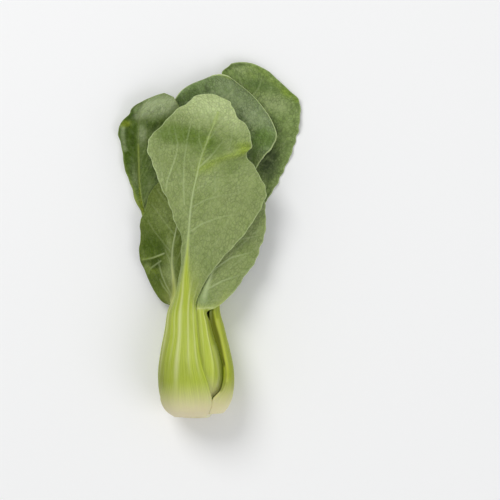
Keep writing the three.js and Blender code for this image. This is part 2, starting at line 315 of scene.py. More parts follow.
@dataclass(frozen=True)
class LeafForm:
    """A leaf's shape.

    Attributes:
        ring: The circle of its stem.
        stem: Plan y and the directions of both margins, from the base to the neck.
        blade: Left margin, midrib and right margin as plan x, y and height, from the neck to the tip.
        thick: Thickness of the stem's middle at the bulb's widest, in mm.
        turn: Which face looks up.
        ridges: The stem's lengthwise ridges.
        folds: Folds over the blade.
        wave: Height of the margin's waves, in mm.
        phase: Where the waves start, in radians.
        trough: Depth of the fold along one half of the blade, in mm.
        lip: How much thicker the first margin gets towards the neck, in mm.
        floor: The lowest that the underside may come, in mm above the plan's zero.
        cells: Columns across and the step along the blade in mm.
        frill: Height of the small scallops along the margin, in mm.
        veins: Side veins drawn on the plan.
        faint: Strength of the side veins that follow the rule.
        steep: How steeply the unseen side veins leave the midrib.
    """

    ring: Ring
    stem: tuple[Point3, ...]
    blade: tuple[tuple[Point3, Point3, Point3], ...]
    thick: float
    turn: Turn = Turn.BACK_UP
    ridges: tuple[Ridge, ...] = ()
    folds: tuple[Fold, ...] = ()
    wave: float = 1.0
    phase: float = 0.0
    trough: float = 0.0
    lip: float = 0.0
    floor: float | None = None
    cells: tuple[int, float] = (96, 0.55)
    frill: float = 0.25
    veins: tuple[Vein, ...] = ()
    faint: float = 0.35
    steep: float = 2.2


class LeafSurface:
    """The surface of one leaf, over u across it (-1 to 1) and v along it in mm from its base."""

    STEP_ACROSS = 0.02  # u to each side of a place for its normal
    STEP_ALONG = 0.6  # mm before and after it, likewise

    def __init__(self, form: LeafForm) -> None:
        """Lays out the sections.

        Args:
            form: The leaf's shape.
        """
        self.form = form
        self.neck = len(form.stem) - 1
        middles = self._sections(np.array([0.0]))[:, 0]
        steps = np.linalg.norm(np.diff(middles, axis=0), axis=1)
        self.knots = np.concatenate([[0.0], np.cumsum(steps)])
        self.length = float(self.knots[-1])
        self.neck_at = float(self.knots[self.neck])
        self.scales = np.array([BULB.scale(row[0]) for row in form.stem])

    def _sections(self, u: Array) -> Array:
        """Every section's points at u, as sections by u by xyz.

        Args:
            u: Places across the leaf, -1 to 1.

        Returns:
            The points, in mm.
        """
        stems = [self._stem_section(row, u) for row in self.form.stem]
        blades = [self._blade_section(row, u) for row in self.form.blade]
        return np.array(stems + blades)

    def _stem_section(self, row: Point3, u: Array) -> Array:
        """An arc of the ring, from its +angle margin at u = -1 to its -angle margin at u = 1.

        Args:
            row: Plan y, then the angles of both margins.
            u: Places across the leaf, -1 to 1.

        Returns:
            The points as u by xyz, in mm.
        """
        y, start, stop = row
        ring = self.form.ring
        k = BULB.scale(y)
        toward = math.radians(ring.toward)
        centre = BULB.middle(y) + k * ring.shift * np.array([math.cos(toward), 0, math.sin(toward)])
        sweep = np.where(u < 0, start - ring.mid, ring.mid - stop)
        a = np.radians(ring.mid - u * sweep)
        arc = np.stack([np.cos(a), np.zeros_like(a), np.sin(a)], axis=-1)
        return centre + k * ring.radius * arc

    def _blade_section(self, row: tuple[Point3, Point3, Point3], u: Array) -> Array:
        """A line through both margins and the midrib, leaving its chord as a parabola.

        Args:
            row: The left margin, the midrib and the right margin, as plan places.
            u: Places across the leaf, -1 to 1.

        Returns:
            The points as u by xyz, in mm.
        """
        left, middle, right = (PLAN.point(p) for p in row)
        first, last = (left, right) if self.form.turn is Turn.BACK_UP else (right, left)
        across = (last - first) / np.linalg.norm(last - first)
        end = np.where((u < 0)[:, None], first - middle, last - middle)
        side = (end @ across)[:, None] * across
        s = np.abs(u)[:, None]
        return middle + side * s + (end - side) * s * s

    def points(self, u: Array, v: Array) -> Array:
        """The bare surface as v by u by xyz, in mm."""
        return curve(self.knots, self._sections(np.clip(u, -1, 1)), np.clip(v, 0, self.length))

    def normals(self, u: Array, v: Array) -> Array:
        """Unit normals out of the leaf's back, as v by u by xyz.

        Args:
            u: Places across the leaf, -1 to 1.
            v: Places along it, in mm from its base.

        Returns:
            The normals.
        """
        du = self.points(u + self.STEP_ACROSS, v) - self.points(u - self.STEP_ACROSS, v)
        dv = self.points(u, v + self.STEP_ALONG) - self.points(u, v - self.STEP_ALONG)
        n = np.cross(du, dv)
        return n / np.linalg.norm(n, axis=-1, keepdims=True)

    def share(self, v: Array) -> Array:
        """Share of the blade passed: below 0 on the stem, 0 at the neck, 1 at the tip."""
        return (v - self.neck_at) / (self.length - self.neck_at)

    def scale(self, v: Array) -> Array:
        """The bulb's size beside v."""
        n = self.neck + 1
        return curve(self.knots[:n], self.scales, np.minimum(v, self.neck_at))


class LeafMesh:
    """The closed fine mesh of a leaf, and what its finish reads from each point.

    Attributes:
        surface: The leaf's surface.
        form: The leaf's shape.
        home: Shift from the plan's middle to the frame's origin, in mm.
        columns: Places across the leaf, -1 to 1.
        rows: Places along the leaf, in mm from its base.
        u: The column of each point of the grid.
        v: The row of each point of the grid.
        share: Share of the blade passed at each point.
        off: How far out from the midrib each point is, 1 at the margin.
        points: The bare surface.
        width: Distance to the midrib, in mm.
        margin: Distance to the nearest edge, in mm.
        waved: How fully the margin waves, 0 at the neck.
        outer: The face out of the leaf's back.
        inner: The other face.
        facts: What the finish reads, by name.
        beneath: The same for the inner face, where it differs.
    """

    # the grid: u is 0 at the midrib and 1 at the margin, and rows are in mm
    EVEN_TO = 0.965  # the columns are even up to here
    MARGIN_COLUMNS = (0.978, 0.988, 0.995, 0.9985, 1.0)  # and then closer and closer
    BASE_ROWS = (0.0, 0.08, 0.25, 0.5, 0.9, 1.4)  # from the base
    STEM_FROM = 2.0  # where the stem's even rows start
    STEM_STEP = 1.8  # they lie this many times further apart than the blade's
    TIP_GAP = 0.9  # where the blade's even rows end, from the tip
    TIP_ROWS = (0.7, 0.45, 0.25, 0.1, 0.0)  # from the tip

    # the form, in mm unless it says otherwise
    CALM = 0.5  # u: at the tip the normals come from no further out than this
    CALM_FROM = 0.88  # share of the blade where they start to
    CALM_TO = 0.97  # share of the blade from which they all do
    RIB_WIDTH = (0.45, 6.0)  # half width of the main rib at the tip, and its gain to the neck
    RIB_HEIGHT = (0.35, 2.7)  # the rib's height, likewise
    BASE_FLESH = 1.2  # a stem's margins are this much thicker at its base
    BASE_REACH = 16  # and no thicker from here on
    EDGE_ROUND = 1.6  # the margins are rounded over no more than this
    SCALLOP = 6.5  # length of the margin's scallops
    SMALL_SCALLOP = 1.37  # a radian of the small ones between them

    # the side veins and what the finish reads, in mm unless it says otherwise
    VEIN_SPACING = 13.0  # between the side veins along the midrib
    VEIN_WIDTH = 0.42  # half width of a raised vein
    VEIN_REACH = 3.0  # distances to a vein are kept up to here
    RIM_REACH = 2.2  # the rim's colour ends this far in
    HIDDEN_TINT = 0.3  # share of a tint that the hidden side of a leaf has
    LANES = 20  # lanes of strings over half a stem

    def __init__(self, surface: LeafSurface, home: Array) -> None:
        """Works out the grid and both faces.

        Args:
            surface: The leaf's surface.
            home: Shift from the plan's middle to the frame's origin, in mm.
        """
        self.surface = surface
        self.form = surface.form
        self.home = home
        self.columns = self._columns()
        self.rows = self._rows()
        self.u, self.v = np.meshgrid(self.columns, self.rows)
        self.share, self.off = surface.share(self.v), np.abs(self.u)
        self.points = surface.points(self.columns, self.rows)
        spine = self.points[:, len(self.columns) // 2][:, None]
        self.width = np.linalg.norm(self.points - spine, axis=-1)
        self.margin = self._to_margin()
        self.waved = smooth(0.12, 0.4, self.share)
        self.outer, self.inner = self._faces()
        self.facts = self._facts()
        self.beneath: dict[str, Array] = {}

    def _columns(self) -> Array:
        """Places across the leaf, closer together at the margins.

        Returns:
            The places, -1 to 1.
        """
        half = self.form.cells[0] // 2
        side = np.concatenate([np.linspace(0, self.EVEN_TO, half + 1), self.MARGIN_COLUMNS])
        return np.concatenate([-side[:0:-1], side])

    def _rows(self) -> Array:
        """Places along the leaf, closer together at both ends.

        Returns:
            The places, in mm from its base.
        """
        s = self.surface
        step = self.form.cells[1]
        stem = np.arange(self.STEM_FROM, s.neck_at, self.STEM_STEP * step)
        blade = np.arange(s.neck_at, s.length - self.TIP_GAP, step)
        return np.concatenate([self.BASE_ROWS, stem, blade, s.length - np.array(self.TIP_ROWS)])

    def _to_margin(self) -> Array:
        """Distance of each point to the leaf's nearest edge, in mm.

        Returns:
            The distances over the grid.
        """
        p, v = self.points, self.v
        edge = np.where((self.u < 0)[..., None], p[:, :1], p[:, -1:])
        reach = np.linalg.norm(edge - p, axis=-1)
        return np.minimum(np.minimum(reach, self.surface.length - v), v)

    def _faces(self) -> tuple[Array, Array]:
        """The outer and the inner face, as rows by columns by xyz.

        Returns:
            Both faces, in mm.
        """
        blade = smooth(0, 0.3, self.share)
        shift, rib = self._shift(), self._rib()[0]
        ridge = self._ridges() * (1 - smooth(0, 0.35, self.share))
        height = ridge + shift + 0.5 * blade * rib
        bottom = shift - ((1 - blade) * self._crescent() + blade * (RIND + 0.5 * rib))
        thin = self._rounding(height - bottom)
        n, outward = self._directions(), self._scallops()
        outer = self.points + n * (height - thin)[..., None] + outward
        inner = self.points + n * (bottom + thin)[..., None] + outward
        if self.form.floor is not None:
            lift = np.maximum(self.form.floor - outer[..., 2], 0)
            outer[..., 2] += lift
            inner[..., 2] += lift
        return outer, inner

    def _directions(self) -> Array:
        """Unit normals, taken from further in near the tip, where the outline would turn them over.

        Returns:
            The normals over the grid.
        """
        n = self.surface.normals(self.columns, self.rows)
        calm = self.surface.normals(np.clip(self.columns, -self.CALM, self.CALM), self.rows)
        n = n + smooth(self.CALM_FROM, self.CALM_TO, self.share)[..., None] * (calm - n)
        return n / np.linalg.norm(n, axis=-1, keepdims=True)

    def _rib(self) -> tuple[Array, Array]:
        """Height of the blade's main rib, and its half width, in mm.

        Returns:
            Both over the grid.
        """
        left = np.clip(1 - self.share, 0, 1)
        half = self.RIB_WIDTH[0] + self.RIB_WIDTH[1] * left**6
        height = self.RIB_HEIGHT[0] + self.RIB_HEIGHT[1] * left**2.6
        return height * np.exp(-((self.width / half) ** 2)), half

    def _ridges(self) -> Array:
        """Height of the stem's ridges, in mm."""
        return sum((line.rise(self.u, self.v) for line in self.form.ridges), np.zeros_like(self.u))

    def _shift(self) -> Array:
        """How far waves, trough and folds carry the blade along its normals, in mm.

        Returns:
            The shifts over the grid.
        """
        form, u, a, q = self.form, self.u, self.off, self.share
        angle = self.v / WAVE_LENGTH * 2 * math.pi + form.phase + 1.7 * u
        wave = form.wave * a**2.2 * self.waved * np.sin(angle)
        middle = smooth(0.3, 0.55, q) * (1 - smooth(0.9, 1, q))
        dip = np.where(u > 0, form.trough * np.sin(math.pi * a) * middle, 0.0)
        x, y = self.points[..., 0], self.points[..., 1]
        return wave + dip + sum((line.rise(x, y) for line in form.folds), np.zeros_like(u))

    def _crescent(self) -> Array:
        """Thickness of the stem, which is thickest in its middle, in mm.

        Returns:
            The thickness over the grid.
        """
        form, a, v = self.form, self.off, self.v
        lip = form.lip * smooth(0.6, 1, -self.u) * smooth(0.5, 0.95, v / self.surface.neck_at)
        fleshy = self.BASE_FLESH * a**2 * (1 - smooth(0, self.BASE_REACH, v)) + lip
        size = self.surface.scale(self.rows)[:, None]
        return size * (MARGIN + (form.thick - MARGIN) * (1 - a**1.3)) + fleshy

    def _rounding(self, thick: Array) -> Array:
        """How far each face sinks towards the other so that the edges are round.

        Args:
            thick: The leaf's thickness in mm.

        Returns:
            The sinking in mm: half the thickness at the edge, nothing inside.
        """
        soft = 0.25 + 0.75 * smooth(2, 18, self.v)
        part = np.clip(self.margin / (np.minimum(0.6 * thick, self.EDGE_ROUND) * soft), 0, 1)
        return 0.5 * thick * (1 - np.sqrt(1 - (1 - part) ** 2))

    def _scallops(self) -> Array:
        """The small scallops along the margin, as shifts across the blade.

        Returns:
            The shifts as rows by columns by xyz, in mm.
        """
        form, v = self.form, self.v
        large = np.sin(v / self.SCALLOP * 2 * math.pi + 2 * form.phase)
        scallop = large + 0.6 * np.sin(v / self.SMALL_SCALLOP + form.phase)
        frill = form.frill * self.waved * self.off**10 * scallop
        side = np.gradient(self.points, axis=1)
        side /= np.linalg.norm(side, axis=-1, keepdims=True)
        return side * (np.sign(self.u) * frill)[..., None]

    def _facts(self) -> dict[str, Array]:
        """What the finish reads from each point, by name.

        Returns:
            A number for each point of the grid.
        """
        q, a, v = self.share, self.off, self.v
        left = np.clip(1 - q, 0, 1)
        rib_reach = 0.15 + 0.6 * self._rib()[1]
        ribbed = np.exp(-((self.width / rib_reach) ** 2))
        vein, away = self._veins()
        vein *= smooth(0.02, 0.2, q) * (1 - a**6) * (1 - ribbed)
        rib_start, rib_end = smooth(0.0, 0.12, q), 1 - smooth(0.8, 0.95, q)
        return {
            "stem": 1 - smooth(-0.02, 0.3, q + 0.1 * a - 0.22 * ribbed * left),
            "ridge": np.clip(self._ridges() / 0.5, 0, 1) * (1 - smooth(0, 0.3, q)),
            "rib": rib_start * (1 - 0.45 * smooth(0.55, 0.75, q)) * rib_end,
            "rib_reach": rib_reach,
            "vein": vein,
            "vein_away": np.minimum(away, self.VEIN_REACH),
            "margin": np.clip(1 - self.margin / self.RIM_REACH, 0, 1),
            "foot": 1 - smooth(2, 27, v + form_base(self.form)),
            "along": v,
            "across": np.sign(self.u) * self.width,
            "lane": self.u * self.LANES,
            "pillow": self.waved * (1 - a**4) * (1 - ribbed),
        }

    def _veins(self) -> tuple[Array, Array]:
        """Strength of the nearest side vein at each point, and how far away it is in mm.

        Returns:
            Both over the grid.
        """
        form, v, width = self.form, self.v, self.width
        x, y = self.points[..., 0], self.points[..., 1]
        bend = v - form.steep * width**0.9 + 1.6 * np.sin(width / 6 + form.phase) + 1.2 * np.sin(v / 11)
        turns = np.round(bend / self.VEIN_SPACING)
        away = np.abs(bend - self.VEIN_SPACING * turns) / math.hypot(1, form.steep)
        best = form.faint * (0.6 + 0.4 * np.sin(v / 17 + 3 * self.u))
        for vein in form.veins:
            off, part = line_distance(vein.line, x, y)
            nearer = off < np.where(best > form.faint, away, np.minimum(away + 1.0, self.VEIN_REACH))
            drawn = np.maximum(vein.share * (1 - 0.7 * part**1.5), form.faint + 0.01)
            best = np.where(nearer, drawn, best)
            away = np.where(nearer, off, away)
        return best, away

    def tint(self, name: str, strength: Array) -> None:
        """Adds a tint drawn from above, full on the side that looks up and faint on the other.

        Args:
            name: The tint's name.
            strength: Its strength over the grid.
        """
        turn = self.form.turn
        slope = self.surface.normals(self.columns, self.rows)[..., 2] * turn.value
        seen = strength * smooth(-0.1, 0.2, slope)
        faint = self.HIDDEN_TINT * strength
        back_up = turn is Turn.BACK_UP
        self.facts[name] = seen if back_up else faint
        self.beneath[name] = faint if back_up else seen

    def make(self, name: str) -> bpy.types.Object:
        """Builds the mesh.

        Args:
            name: The object's name.

        Returns:
            A closed mesh whose faces point out, with the facts as point attributes.
        """
        rows, cols = self.u.shape
        top = np.arange(rows * cols).reshape(rows, cols)
        under = top.copy()
        hidden = (rows - 2, cols - 2)
        under[1:-1, 1:-1] = rows * cols + np.arange(math.prod(hidden)).reshape(hidden)
        places = np.concatenate([self.outer.reshape(-1, 3), self.inner[1:-1, 1:-1].reshape(-1, 3)])
        places = (places + self.home) * METRE
        up = [top[:-1, :-1], top[:-1, 1:], top[1:, 1:], top[1:, :-1]]
        down = [under[:-1, :-1], under[1:, :-1], under[1:, 1:], under[:-1, 1:]]
        quads = [np.stack(face, axis=-1).reshape(-1, 4) for face in (up, down)]
        mesh = quad_mesh(name, places, np.concatenate(quads))
        facts = dict(self.facts)
        facts["side"] = np.zeros((rows, cols))
        facts["rise"] = facts["vein"] * np.exp(-((facts["vein_away"] / self.VEIN_WIDTH) ** 2))
        inner = {"side": np.ones((rows, cols)), "rise": -0.4 * facts["rise"], "pillow": -facts["pillow"]}
        inner.update(self.beneath)
        for key, grid in facts.items():
            beneath = inner.get(key, grid)[1:-1, 1:-1]
            store(mesh, key, np.concatenate([grid.reshape(-1), beneath.reshape(-1)]))
        return link_mesh(name, mesh)


def form_base(form: LeafForm) -> float:
    """How far above the outermost stem bases a leaf starts, in mm."""
    return (OUTER_BASE - form.stem[0][0]) * PLAN.unit


def quad_mesh(name: str, places: Array, quads: Array) -> bpy.types.Mesh:
    """A smooth mesh from points and four-cornered faces.

    Args:
        name: The mesh's name.
        places: Points in metres.
        quads: Four point numbers per face.

    Returns:
        The mesh.
    """
    mesh = bpy.data.meshes.new(name)
    mesh.vertices.add(len(places))
    mesh.vertices.foreach_set("co", places.astype(np.float32).ravel())
    mesh.loops.add(quads.size)
    mesh.loops.foreach_set("vertex_index", quads.astype(np.int32).ravel())
    mesh.polygons.add(len(quads))
    mesh.polygons.foreach_set("loop_start", np.arange(0, quads.size, 4, dtype=np.int32))
    mesh.polygons.foreach_set("use_smooth", np.ones(len(quads), dtype=bool))
    mesh.update(calc_edges=True)
    mesh.validate()
    return mesh


def store(mesh: bpy.types.Mesh, name: str, values: Array) -> None:
    """Keeps one number per point on a mesh, under a name."""
    mesh.attributes.new(name, "FLOAT", "POINT").data.foreach_set("value", values.astype(np.float32))


def link_mesh(name: str, mesh: bpy.types.Mesh) -> bpy.types.Object:
    """Puts a mesh into the scene as an object at the origin.

    Args:
        name: The object's name.
        mesh: Its mesh.

    Returns:
        The object.
    """
    piece = bpy.data.objects.new(name, mesh)
    bpy.context.scene.collection.objects.link(piece)
    return piece


class Graph:
    """A small writer of material and geometry node trees."""

    def __init__(self, tree: bpy.types.NodeTree) -> None:
        """Starts on a tree, which is emptied.

        Args:
            tree: The node tree to write.
        """
        self.tree = tree
        tree.nodes.clear()

    def node(self, kind: str, inputs: dict | None = None, **settings: object) -> bpy.types.Node:
        """Adds a node.

        Args:
            kind: The node's type name.
            inputs: Values or sockets, by socket name or number.
            **settings: The node's own settings.

        Returns:
            The node.
        """
        made = self.tree.nodes.new(kind)
        for key, value in settings.items():
            setattr(made, key, value)
        for key, value in (inputs or {}).items():
            self.feed(made.inputs[key], value)
        return made

    def feed(self, socket: Socket, value: object) -> None:
        """Links a socket to another, or sets its value.

        Args:
            socket: A node's input.
            value: Another socket, or the value.
        """
        if isinstance(value, bpy.types.NodeSocket):
            self.tree.links.new(value, socket)
        else:
            socket.default_value = value

    def fact(self, name: str) -> Socket:
        """A number kept on the mesh's points, for a material."""
        return self.node("ShaderNodeAttribute", attribute_name=name).outputs["Fac"]

    def math(self, operation: str, a: Socket | float, b: Socket | float = 0.0, clamp: bool = False) -> Socket:
        """A math node's result."""
        return self.node("ShaderNodeMath", {0: a, 1: b}, operation=operation, use_clamp=clamp).outputs[0]

    def times(self, *factors: Socket | float) -> Socket:
        """The product of its factors, from the first to the last.

        Args:
            *factors: Sockets or numbers.

        Returns:
            The product.
        """
        product = factors[0]
        for factor in factors[1:]:
            product = self.math("MULTIPLY", product, factor)
        return product

    def spread(
        self, value: Socket, low: float, high: float, to_low: float = 0.0, to_high: float = 1.0
    ) -> Socket:
        """A value mapped smoothly from one range to another, and held at its ends."""
        inputs = {"Value": value, "From Min": low, "From Max": high, "To Min": to_low, "To Max": to_high}
        return self.node("ShaderNodeMapRange", inputs, interpolation_type="SMOOTHSTEP").outputs["Result"]

    def mix(self, share: Socket | float, a: Socket | str, b: Socket | str) -> Socket:
        """A colour between two colours, each a socket or an sRGB name.

        Args:
            share: The share of the second one.
            a: The first colour.
            b: The second colour.

        Returns:
            The colour.
        """
        made = self.node("ShaderNodeMix", data_type="RGBA")
        self.feed(made.inputs[0], share)
        for socket, value in ((made.inputs[6], a), (made.inputs[7], b)):
            self.feed(socket, linear(value) if isinstance(value, str) else value)
        return made.outputs[2]

    def coats(self, ground: Socket, *layers: tuple[Socket, str]) -> Socket:
        """A colour with layers over it, each a share and an sRGB name, from the lowest to the top one.

        Args:
            ground: The colour under them.
            *layers: The layers.

        Returns:
            The colour.
        """
        for share, colour in layers:
            ground = self.mix(share, ground, colour)
        return ground

    def noise(self, vector: Socket, scale: float, detail: float = 3.0, rough: float = 0.5) -> Socket:
        """A noise texture's value."""
        inputs = {"Vector": vector, "Scale": scale, "Detail": detail, "Roughness": rough}
        return self.node("ShaderNodeTexNoise", inputs).outputs["Fac"]

    def vector(self, x: Socket | float, y: Socket | float, z: Socket | float = 0.0) -> Socket:
        """A vector from three numbers or sockets."""
        return self.node("ShaderNodeCombineXYZ", {0: x, 1: y, 2: z}).outputs[0]


class MeshGraph(Graph):
    """A geometry node tree with named inputs, from a geometry to one with a finish."""

    def __init__(self, name: str, inputs: dict[str, str]) -> None:
        """Starts the tree.

        Args:
            name: The tree's name.
            inputs: The kind of each of its own inputs, by name.
        """
        super().__init__(bpy.data.node_groups.new(name, "GeometryNodeTree"))
        new_socket = self.tree.interface.new_socket
        for label, kind in {"Geometry": "Geometry", **inputs, "Finish": "Material"}.items():
            new_socket(name=label, in_out="INPUT", socket_type=f"NodeSocket{kind}")
        new_socket(name="Geometry", in_out="OUTPUT", socket_type="NodeSocketGeometry")
        self.given = self.node("NodeGroupInput").outputs

    def end(self, geometry: Socket) -> bpy.types.NodeTree:
        """Ends the tree in Realize Instances and Set Material.

        Args:
            geometry: The geometry that the tree has made.

        Returns:
            The tree.
        """
        real = self.node("GeometryNodeRealizeInstances", {"Geometry": geometry})
        inputs = {"Geometry": real.outputs[0], "Material": self.given["Finish"]}
        finish = self.node("GeometryNodeSetMaterial", inputs)
        self.node("NodeGroupOutput", {"Geometry": finish.outputs[0]})
        return self.tree


@dataclass(frozen=True)
class Relief:
    """The fine relief of a blade: raised side veins and the pillows between them.

    Attributes:
        vein_height: Height of a side vein on the leaf's back, in mm.
        pillow_height: Height of the pillows, in mm.
        pillow_size: Size of the pillows, in mm.
        flat_below: There is no relief up to this height above the ground, in mm.
        full_above: It is full from this height on, in mm.
        seed: Seed of the pillows.
    """

    vein_height: float = 0.3
    pillow_height: float = 0.3
    pillow_size: float = 5.0
    flat_below: float = 0.5
    full_above: float = 2.5
    seed: int = 7

    def tree(self, name: str) -> bpy.types.NodeTree:
        """Builds the geometry nodes.

        Args:
            name: The tree's name.

        Returns:
            A tree with named inputs, ending in Realize Instances and Set Material.
        """
        inputs = {"Vein Height": "Float", "Pillow Height": "Float", "Pillow Size": "Float", "Seed": "Float"}
        graph = MeshGraph(name, inputs)
        given = graph.given

        def kept(label: str) -> Socket:
            """A number kept on the points, by its name."""
            made = graph.node("GeometryNodeInputNamedAttribute", {"Name": label}, data_type="FLOAT")
            return made.outputs["Attribute"]

        skin = graph.vector(kept("across"), kept("along"))
        shrink = graph.math("DIVIDE", 1.0, given["Pillow Size"])
        inputs = {"Vector": skin, "W": given["Seed"], "Scale": shrink, "Detail": 2.0}
        noise = graph.node("ShaderNodeTexNoise", inputs, noise_dimensions="4D").outputs[0]
        pillow = graph.times(graph.math("SUBTRACT", noise, 0.5), graph.times(kept("pillow"), 2.0))
        veins = graph.times(kept("rise"), given["Vein Height"])
        lift = graph.math("ADD", veins, graph.times(pillow, given["Pillow Height"]))
        place = graph.node("ShaderNodeSeparateXYZ", {0: graph.node("GeometryNodeInputPosition").outputs[0]})
        free = graph.spread(place.outputs[2], self.flat_below * METRE, self.full_above * METRE)
        metres = graph.times(graph.times(lift, free), METRE)
        normal = graph.node("GeometryNodeInputNormal").outputs[0]
        scaled = graph.node("ShaderNodeVectorMath", {0: normal, "Scale": metres}, operation="SCALE")
        inputs = {"Geometry": given["Geometry"], "Offset": scaled.outputs[0]}
        return graph.end(graph.node("GeometryNodeSetPosition", inputs).outputs[0])

    def apply(self, piece: bpy.types.Object, material: bpy.types.Material) -> bpy.types.Object:
        """Turns the relief into the piece's own mesh.

        Args:
            piece: A leaf's mesh.
            material: Its finish.

        Returns:
            The same object, with the relief in its mesh.
        """
        values = {
            "Vein Height": self.vein_height,
            "Pillow Height": self.pillow_height,
            "Pillow Size": self.pillow_size,
            "Seed": float(self.seed),
            "Finish": material,
        }
        return bake_nodes(piece, self.tree(f"{piece.name}_relief"), values)


def bake_nodes(piece: bpy.types.Object, tree: bpy.types.NodeTree, values: dict) -> bpy.types.Object:
    """Runs a geometry node tree on a piece and keeps the result as its plain mesh.

    Args:
        piece: The object to work on.
        tree: The geometry node tree.
        values: Input values by name.

    Returns:
        The object, with no modifier left.
    """
    modifier = piece.modifiers.new("nodes", "NODES")
    modifier.node_group = tree
    for item in tree.interface.items_tree:
        if item.item_type == "SOCKET" and item.in_out == "INPUT" and item.name in values:
            modifier[item.identifier] = values[item.name]
    graph = bpy.context.evaluated_depsgraph_get()
    mesh = bpy.data.meshes.new_from_object(piece.evaluated_get(graph), depsgraph=graph)
    piece.modifiers.clear()
    piece.data = mesh
    mesh.shade_smooth()
    return piece


@dataclass(frozen=True)
class Blot:
    """A soft patch of a tint on a blade.

    Attributes:
        place: Its middle on the plan.
        reach: Its half sizes along and across, in plan units.
        share: Its strength.
        tilt: The turn of its length from +X towards the cut end, in degrees.
        edge: How sharply it ends: 2 is soft and 6 is sharp.
    """

    place: Point2
    reach: Point2
    share: float = 1.0
    tilt: float = 0.0
    edge: float = 2.0

    def strength(self, x: Array, y: Array) -> Array:
        """The patch's strength at places in mm.

        Args:
            x: Their x.
            y: Their y.

        Returns:
            The strengths.
        """
        cx, cy = PLAN.mm(*self.place)
        turn = math.radians(self.tilt)
        dx, dy = (x - cx) / PLAN.unit, (cy - y) / PLAN.unit
        along = dx * math.cos(turn) + dy * math.sin(turn)
        across = dy * math.cos(turn) - dx * math.sin(turn)
        away = np.hypot(along / self.reach[0], across / self.reach[1])
        return self.share * np.exp(-(away**self.edge))


@dataclass(frozen=True)
class Streak:
    """A line of a tint on a blade.

    Attributes:
        line: Its plan places.
        width: Its half width in mm.
        share: Its strength.
        start: Its strength at the first place, as a share of that at the last.
        edge: How sharply it ends: 2 is soft and 6 is sharp.
    """

    line: tuple[Point2, ...]
    width: float
    share: float = 1.0
    start: float = 1.0
    edge: float = 2.0

    def strength(self, x: Array, y: Array) -> Array:
        """The line's strength at places in mm.

        Args:
            x: Their x.
            y: Their y.

        Returns:
            The strengths.
        """
        away, part = line_distance(self.line, x, y)
        rising = self.share * (self.start + (1 - self.start) * part)
        return rising * np.exp(-((away / self.width) ** self.edge))


Mark = Blot | Streak


@dataclass(frozen=True)
class Tints:
    """Where a leaf's colour departs from its plain green.

    Attributes:
        leafy: Where its stem is as green as its blade.
        deep: Where it is deeper, partly its own deeper green and partly painted shade.
        pale: Where it is paler, partly its own paler green and partly painted highlights and sheen.
        gold: Where it is yellower, partly its own yellow green and partly painted light glowing through folds
            and curled margins.
        dusk: Where it is in shade.
    """

    leafy: tuple[Mark, ...] = ()
    deep: tuple[Mark, ...] = ()
    pale: tuple[Mark, ...] = ()
    gold: tuple[Mark, ...] = ()
    dusk: tuple[Mark, ...] = ()


